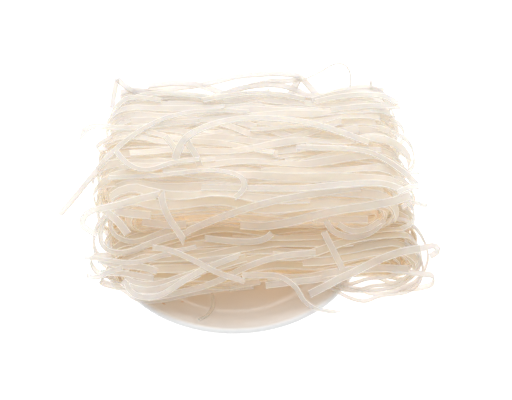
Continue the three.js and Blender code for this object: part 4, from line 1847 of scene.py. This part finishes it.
@dataclass(frozen=True)
class NoodleFinish:
    """Dry rice starch: cream white and translucent, with a painted edge highlight, painted warm shade and a
    painted glow.

    Attributes:
        name: Name of the material.
        cream: Colour of a strand on top.
        tan: Painted shade colour that a strand turns towards: deep in the bundle, at the front, on the
            lower hank and high up on a free strand.
        painted_rim_shading: Colour of the painted line beside each edge of a ribbon: a painted highlight
            where it is paler than the cream, a painted shade line where it is darker, as on the free
            strands.
        edge: Colour of a ribbon's narrow sides.
        speck: Colour of the rare bran specks.
        seep: Colour of the light that passes through a ribbon on top.
        painted_shade_seep: Colour of the light that passes through a ribbon where its painted shade is
            full, warmer than seep.
        seep_share: Share of the light that passes through.
        painted_inner_glow: Colour of the painted glow that the strands give off, which stands in for the
            light that wanders between them.
        painted_inner_glow_strength: Strength of that painted glow.
        clear_share: Share of each flat side that shows what lies behind it.
    """

    name: str
    cream: Colour = (0.915, 0.903, 0.882, 1.0)
    tan: Colour = (0.92, 0.865, 0.775, 1.0)
    painted_rim_shading: Colour = (1.0, 0.99, 0.975, 1.0)
    edge: Colour = (0.90, 0.81, 0.68, 1.0)
    speck: Colour = (0.45, 0.33, 0.2, 1.0)
    seep: Colour = (0.965, 0.942, 0.9, 1.0)
    painted_shade_seep: Colour = (0.945, 0.892, 0.805, 1.0)
    seep_share: float = 0.58
    painted_inner_glow: Colour = (1.0, 0.9, 0.77, 1.0)
    painted_inner_glow_strength: float = 0.115
    clear_share: float = 0.32

    # where the painted highlight line beside the edges runs, from the middle of a ribbon at 0 to its edge
    # at 1
    PAINTED_RIM_LINE = ((0.0, BLACK), (0.74, BLACK), (0.83, WHITE), (0.94, WHITE), (1.0, BLACK))
    # where a flat side ends and the narrow side starts
    NARROW_SIDE = (0.95, 0.99)
    # grain for a metre of ribbon and for its half width, and clouds and specks for a metre
    GRAIN = (90.0, 5.0, 1.0)
    CLOUDS = 55.0
    SPECKS = 160.0
    SPECK_SIZE = 0.035
    # spread and middle of the strands' brightness, and what clouds and grain add to it
    BRIGHTNESS = (0.012, 0.985)
    PATTERN_RANGE = (0.3, 0.7)
    PATTERN_SHADE = (-0.015, 0.015)
    ROUGHNESS = (0.34, 0.52)

    def material(self) -> bpy.types.Material:
        """Make the material.

        Returns:
            The noodle material.
        """
        sheet = NodeSheet(self.name)
        sheet.material.use_transparent_shadow = False
        painted_shade = sheet.lay("Attribute", {}, "Fac", attribute_name="painted_shade")
        tone = sheet.lay("Attribute", {}, "Fac", attribute_name="tone")
        ribbon = sheet.lay("UVMap", {}, "UV", uv_map="along")
        place = sheet.lay("TexCoord", {}, "Object")
        lateral = sheet.reckon("ABSOLUTE", sheet.lay("SeparateXYZ", {"Vector": ribbon}, "Y"))
        painted_rim = sheet.ramp(lateral, self.PAINTED_RIM_LINE, "EASE")
        grain = sheet.noise(sheet.stretched(ribbon, self.GRAIN), scale=1.0, detail=3.0)
        clouds = sheet.noise(place, self.CLOUDS)

        shade = sheet.reckon("MULTIPLY_ADD", tone, *self.BRIGHTNESS)
        for pattern in (clouds, grain):
            change = sheet.remap(pattern, self.PATTERN_RANGE, self.PATTERN_SHADE)
            shade = sheet.reckon("ADD", shade, change)
        # painted shade: the strand turns from cream to tan as far as the shade share stored on the mesh
        # goes
        face = sheet.mix(self.cream, self.tan, painted_shade)
        face = sheet.mix(face, self.edge, sheet.remap(lateral, self.NARROW_SIDE))
        # painted highlight: the line beside each edge is mixed in; on the free strands it is darker, a
        # painted shade line
        face = sheet.scaled(sheet.mix(face, self.painted_rim_shading, painted_rim), shade)
        speck = sheet.lay("TexVoronoi", {"Vector": place, "Scale": self.SPECKS}, "Distance")
        face = sheet.mix(face, self.speck, sheet.reckon("LESS_THAN", speck, self.SPECK_SIZE))
        self._coat(sheet, face, sheet.remap(clouds, target=self.ROUGHNESS))
        sheet.bump(grain, strength=0.25, distance=0.0002)

        # the light through the ribbon takes the same painted shade and painted rim line
        seep = sheet.mix(sheet.mix(self.seep, self.painted_shade_seep, painted_shade), self.painted_rim_shading, painted_rim)
        lit = sheet.lay("BsdfTranslucent", {"Color": sheet.scaled(seep, shade)}, "BSDF")
        starch = sheet.blend(sheet.shader.outputs["BSDF"], lit, self.seep_share)
        clear = sheet.lay("BsdfTransparent", {}, "BSDF")
        film = sheet.blend(starch, clear, sheet.remap(painted_rim, target=(self.clear_share, 0.0)))
        sheet.give(sheet.nodes["Material Output"], {"Surface": film})
        return sheet.material

    def _coat(self, sheet: NodeSheet, colour: Socket, roughness: Socket) -> None:
        """Set the main shader.

        Args:
            sheet: The material.
            colour: Colour of the surface.
            roughness: Roughness of the surface.
        """
        # the usual roughness, which stays on the socket under the link
        sheet.shader.inputs["Roughness"].default_value = 0.42
        surface = {
            "Base Color": colour,
            "Roughness": roughness,
            "IOR": 1.5,
            "Specular IOR Level": 0.35,
            # painted glow: the strands give off light of their own, in place of the light that wanders
            # between them
            "Emission Color": self.painted_inner_glow,
            "Emission Strength": self.painted_inner_glow_strength,
            "Subsurface Weight": 0.8,
            "Subsurface Radius": (1.0, 0.72, 0.45),
            "Subsurface Scale": 0.0026,
        }
        sheet.give(sheet.shader, surface)


# The four finishes below are lit and shaded copies of one noodle finish: their painted glows, tans and rim
# lines differ as the light on each group differs.
UPPER_FINISH = NoodleFinish(
    name="rice_noodle_upper",
    seep_share=0.48,
    cream=(0.932, 0.926, 0.914, 1.0),
    tan=(0.94, 0.88, 0.77, 1.0),
    painted_rim_shading=(0.935, 0.92, 0.897, 1.0),
    edge=(0.95, 0.905, 0.83, 1.0),
    seep=(0.976, 0.964, 0.943, 1.0),
    painted_shade_seep=(0.952, 0.898, 0.803, 1.0),
    painted_inner_glow=(1.0, 0.93, 0.85, 1.0),
    painted_inner_glow_strength=0.12,
)
# Shaded copy for the lower hank, which lies in the upper hank's shade: its darker tan, warmer seep and
# warmer, weaker glow are painted shade.
LOWER_FINISH = NoodleFinish(
    name="rice_noodle_lower",
    seep_share=0.48,
    tan=(0.9, 0.825, 0.71, 1.0),
    seep=(0.955, 0.9, 0.81, 1.0),
    painted_inner_glow=(1.0, 0.84, 0.58, 1.0),
    painted_inner_glow_strength=0.075,
)
LOOSE_FINISH = NoodleFinish(
    name="rice_noodle_loose",
    cream=(0.916, 0.905, 0.883, 1.0),
    painted_rim_shading=(0.965, 0.958, 0.945, 1.0),
    seep=(0.96, 0.943, 0.912, 1.0),
    painted_inner_glow=(1.0, 0.92, 0.82, 1.0),
    painted_inner_glow_strength=0.13,
    clear_share=0.44,
)
# Copy for strands that stand in the air: weaker painted glow, a darker rim line that is painted shade, and
# a duller tan that is the painted shade of strands high up.
FREE_FINISH = NoodleFinish(
    name="rice_noodle_free",
    cream=(0.94, 0.922, 0.905, 1.0),
    tan=(0.9, 0.885, 0.872, 1.0),
    painted_rim_shading=(0.87, 0.838, 0.805, 1.0),
    seep=(0.968, 0.945, 0.925, 1.0),
    painted_shade_seep=(0.93, 0.915, 0.902, 1.0),
    painted_inner_glow=(1.0, 0.88, 0.77, 1.0),
    painted_inner_glow_strength=0.075,
    clear_share=0.12,
)


@dataclass(frozen=True)
class CoreFinish:
    """Packed strands deep in the bundle with fine streaks along the noodles: painted warm shade, painted
    shade between the streaks and a painted glow.

    Attributes:
        name: Name of the material.
        painted_gap_shade: Painted shade colour between the strands.
        light: Colour of the strands, a warm tan that is painted shade.
        seep: Colour of the painted glow that stands in for the light that has seeped in through the strands
            around.
        painted_seep_glow_strength: Strength of that painted glow.
    """

    name: str = "packed_noodles"
    painted_gap_shade: Colour = (0.93, 0.78, 0.54, 1.0)
    light: Colour = (0.96, 0.90, 0.78, 1.0)
    seep: Colour = (1.0, 0.76, 0.45, 1.0)
    painted_seep_glow_strength: float = 0.26

    # streaks for a metre along, across and up, and the values between which dark turns light
    STREAKS = (18.0, 320.0, 320.0)
    STREAK_RANGE = (0.35, 0.65)

    def material(self) -> bpy.types.Material:
        """Make the material.

        Returns:
            The core's material.
        """
        sheet = NodeSheet(self.name)
        place = sheet.lay("TexCoord", {}, "Object")
        streaks = sheet.noise(sheet.stretched(place, self.STREAKS), scale=1.0, detail=3.0)
        surface = {
            # painted shade: warm tan strands with darker painted shade between them
            "Base Color": sheet.ramp(streaks, tuple(zip(self.STREAK_RANGE, (self.painted_gap_shade, self.light)))),
            "Roughness": 0.6,
            # painted glow: the core gives off light of its own, in place of the light that seeps in
            "Emission Color": self.seep,
            "Emission Strength": self.painted_seep_glow_strength,
        }
        sheet.give(sheet.shader, surface)
        sheet.bump(streaks, strength=0.8, distance=0.001)
        return sheet.material


@dataclass(frozen=True)
class GlazeFinish:
    """Plain white gloss glaze with the faint unevenness of fired ware.

    Attributes:
        name: Name of the material.
        white: Colour of the glaze.
        cool: Colour where the glaze lies thicker.
        speck: Colour of the two specks in the glaze.
        specks: Place and radius of each speck, mm.
    """

    name: str = "white_glaze"
    white: Colour = (0.97, 0.968, 0.962, 1.0)
    cool: Colour = (0.945, 0.95, 0.958, 1.0)
    speck: Colour = (0.8, 0.62, 0.46, 1.0)
    specks: tuple[tuple[Place, float], ...] = (((-42.6, -50, 19), 1.3), ((-31.7, -41.4, 11.3), 0.9))

    # where a speck starts to fade and where it has faded, as shares of its radius
    FADE = (0.5, 1.3)
    # clouds and ripples for a metre
    CLOUDS = 30.0
    RIPPLES = 90.0
    ROUGHNESS = (0.08, 0.2)

    def material(self) -> bpy.types.Material:
        """Make the material.

        Returns:
            The dish's material.
        """
        sheet = NodeSheet(self.name)
        place = sheet.lay("TexCoord", {}, "Object")
        clouds = sheet.noise(place, self.CLOUDS, detail=3.0)
        colour = sheet.mix(self.white, self.cool, clouds)
        for (x, y, z), radius in self.specks:
            middle = (x * MM, y * MM, z * MM)
            apart = sheet.lay("VectorMath", {0: place, 1: middle}, "Value", operation="DISTANCE")
            fade = sheet.remap(apart, tuple(share * radius * MM for share in self.FADE), (1.0, 0.0))
            colour = sheet.mix(colour, self.speck, fade)
        # the usual roughness, which stays on the socket under the link
        sheet.shader.inputs["Roughness"].default_value = 0.12
        roughness = sheet.remap(clouds, target=self.ROUGHNESS)
        sheet.give(sheet.shader, {"Base Color": colour, "Roughness": roughness, "IOR": 1.5})
        sheet.bump(sheet.noise(place, self.RIPPLES), strength=0.05, distance=0.0004)
        return sheet.material


@dataclass(frozen=True)
class FloorFinish:
    """White light-table floor that hardly takes a shadow.

    Attributes:
        name: Name of the material.
        white: Colour of the floor.
        glow: Brightness of its own light.
    """

    name: str = "white_floor"
    white: Colour = (0.5, 0.5, 0.5, 1.0)
    glow: float = 0.85

    def material(self) -> bpy.types.Material:
        """Make the material.

        Returns:
            The floor's material.
        """
        sheet = NodeSheet(self.name)
        surface = {
            "Base Color": self.white,
            "Roughness": 0.9,
            "Specular IOR Level": 0.0,
            "Emission Color": WHITE,
            "Emission Strength": self.glow,
        }
        sheet.give(sheet.shader, surface)
        return sheet.material


# Studio


@dataclass(frozen=True)
class SoftLight:
    """A soft square light that faces the bundle.

    Attributes:
        name: Name of the light.
        place: Where it hangs, m.
        size: Its side, m.
        power: Its power, W.
    """

    name: str
    place: Place
    size: float
    power: float

    # place that it faces, m
    FACED = (0.0, 0.0, 0.05)

    def hang(self) -> None:
        """Make the light."""
        lamp = bpy.data.lights.new(self.name, "AREA")
        lamp.size = self.size
        lamp.energy = self.power
        obj = linked(self.name, lamp)
        obj.location = self.place
        aim(obj, Vector(self.FACED) - Vector(self.place))


LIGHTS = (
    SoftLight("key", place=(0.0, 0.9, 1.2), size=3.0, power=36.5),
    SoftLight("back", place=(0.0, 1.0, 0.4), size=1.0, power=3.0),
    SoftLight("fill", place=(-0.2, -0.65, 1.15), size=1.2, power=5.2),
)


@dataclass
class Studio:
    """Camera, floor and soft light.

    Attributes:
        target: Place that the camera looks at, mm.
        elevation_degrees: How far the camera looks down.
        distance: Distance from the camera to the target, mm.
        lens: Focal length, mm.
        sensor_width: Width of the camera's sensor, mm.
        floor_size: Side of the floor, m.
        bounces: How often light may bounce between the pale strands.
        surround: Brightness of the white surroundings.
    """

    target: Place = (13.1, 3.35, 54.0)
    elevation_degrees: float = 45.0
    distance: float = 900.0
    lens: float = 103.7
    sensor_width: float = 36.0
    floor_size: float = 6.0
    bounces: int = 32
    surround: float = 0.26

    def build(self) -> None:
        """Make the camera, the floor, the lights and the surroundings."""
        scene = bpy.context.scene
        scene.view_settings.view_transform = "Standard"
        scene.cycles.max_bounces = self.bounces
        scene.cycles.diffuse_bounces = self.bounces
        scene.cycles.transparent_max_bounces = self.bounces
        scene.camera = self._camera()
        self._floor()
        for light in LIGHTS:
            light.hang()
        scene.world = bpy.data.worlds.new("studio")
        scene.world.use_nodes = True
        background = scene.world.node_tree.nodes["Background"]
        background.inputs["Color"].default_value = WHITE
        background.inputs["Strength"].default_value = self.surround

    def _camera(self) -> bpy.types.Object:
        """Make the camera, in front of the bundle and above it.

        Returns:
            The camera's object.
        """
        tilt = math.radians(self.elevation_degrees)
        back = Vector((0.0, -math.cos(tilt), math.sin(tilt)))
        camera = linked("camera", bpy.data.cameras.new("camera"))
        camera.data.lens = self.lens
        camera.data.sensor_width = self.sensor_width
        camera.location = (Vector(self.target) + back * self.distance) * MM
        aim(camera, -back)
        return camera

    def _floor(self) -> None:
        """Make the floor."""
        mesh = bpy.data.meshes.new("floor")
        work = bmesh.new()
        bmesh.ops.create_grid(work, x_segments=1, y_segments=1, size=self.floor_size / 2)
        work.to_mesh(mesh)
        work.free()
        floor = linked("floor", mesh)
        floor.data.materials.append(FloorFinish().material())


# The whole bundle


def fit(piece: bpy.types.Object, material: bpy.types.Material, node: str) -> None:
    """Dress a piece and tie it to the part.

    Args:
        piece: The piece.
        material: Its finish.
        node: Solid that it stands for.
    """
    piece.data.materials.append(material)
    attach(piece, BODY)
    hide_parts(node)
    LOG.info("%s: %d faces", piece.name, len(piece.data.polygons))


@dataclass
class NoodleBundle:
    """Both hanks with their cores and the loose strands.

    Attributes:
        rim_height: Height of the dish's rim, mm.
        lower_rise: Height of the lower hank's middle over the rim, mm.
        clearance: Room between the rim and the lowest strands, mm.
    """

    rim_height: float
    lower_rise: float = 12.8
    clearance: float = 0.2

    def build(self) -> None:
        """Lay all strands, make their pieces and dress them."""
        view = ViewMap()
        maker = StrandMesh(RibbonSection())
        packed = CoreFinish().material()
        for hank, finish in ((self._lower(), LOWER_FINISH), (self._upper(), UPPER_FINISH)):
            strands = hank.lay()
            for strand in strands:
                view.add(strand)
            fit(maker.piece(f"{hank.name}_strands", strands), finish.material(), BUNDLE_NODE)
            fit(hank.core_piece(f"{hank.name}_core"), packed, BUNDLE_NODE)
        laid = list(zip(LOOSE_ROUTES, LooseStrands(view).lay(LOOSE_ROUTES)))
        resting = [strand for route, strand in laid if not route.aloft]
        clear = [strand for route, strand in laid if route.aloft]
        fit(maker.piece("loose_strands", resting), LOOSE_FINISH.material(), BUNDLE_NODE)
        fit(maker.piece("free_strands", clear), FREE_FINISH.material(), BUNDLE_NODE)

    @staticmethod
    def _upper() -> Hank:
        """The upper hank, which lies further back."""
        return Hank(
            name="upper_hank",
            centre=(11.2, 25.0, 64.8),
            yaw_degrees=0.0,
            length=176.0,
            depth=102.0,
            height=28.0,
            part_count=110,
            whole_count=70,
            cover_count=76,
            seed=3,
            front_rounding=16.0,
            right_reach=1.2,
            front_painted_warmth=0.7,
            ragged=6.0,
        )

    def _lower(self) -> Hank:
        """The lower hank, which rests on the dish's rim."""
        return Hank(
            name="lower_hank",
            centre=(14.7, 5.0, self.rim_height + self.lower_rise),
            yaw_degrees=7.0,
            length=185.0,
            depth=108.0,
            height=25.0,
            part_count=95,
            whole_count=64,
            cover_count=46,
            seed=5,
            droop=6.0,
            floor_height=self.rim_height + self.clearance,
            front_left_cut=12.0,
            right_reach=2.2,
            painted_warmth=0.8,
        )


def main() -> None:
    """Load the frame, build the pieces and note the sizes."""
    logging.basicConfig(level=logging.INFO, format="%(name)s %(message)s")
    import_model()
    _, dish_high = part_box(DISH_NODE)
    Studio().build()
    dish = Dish(rim_radius=dish_high.x / MM, height=dish_high.z / MM)
    fit(dish.build(), GlazeFinish().material(), DISH_NODE)
    NoodleBundle(rim_height=dish_high.z / MM).build()


if __name__ == "__main__":
    main()
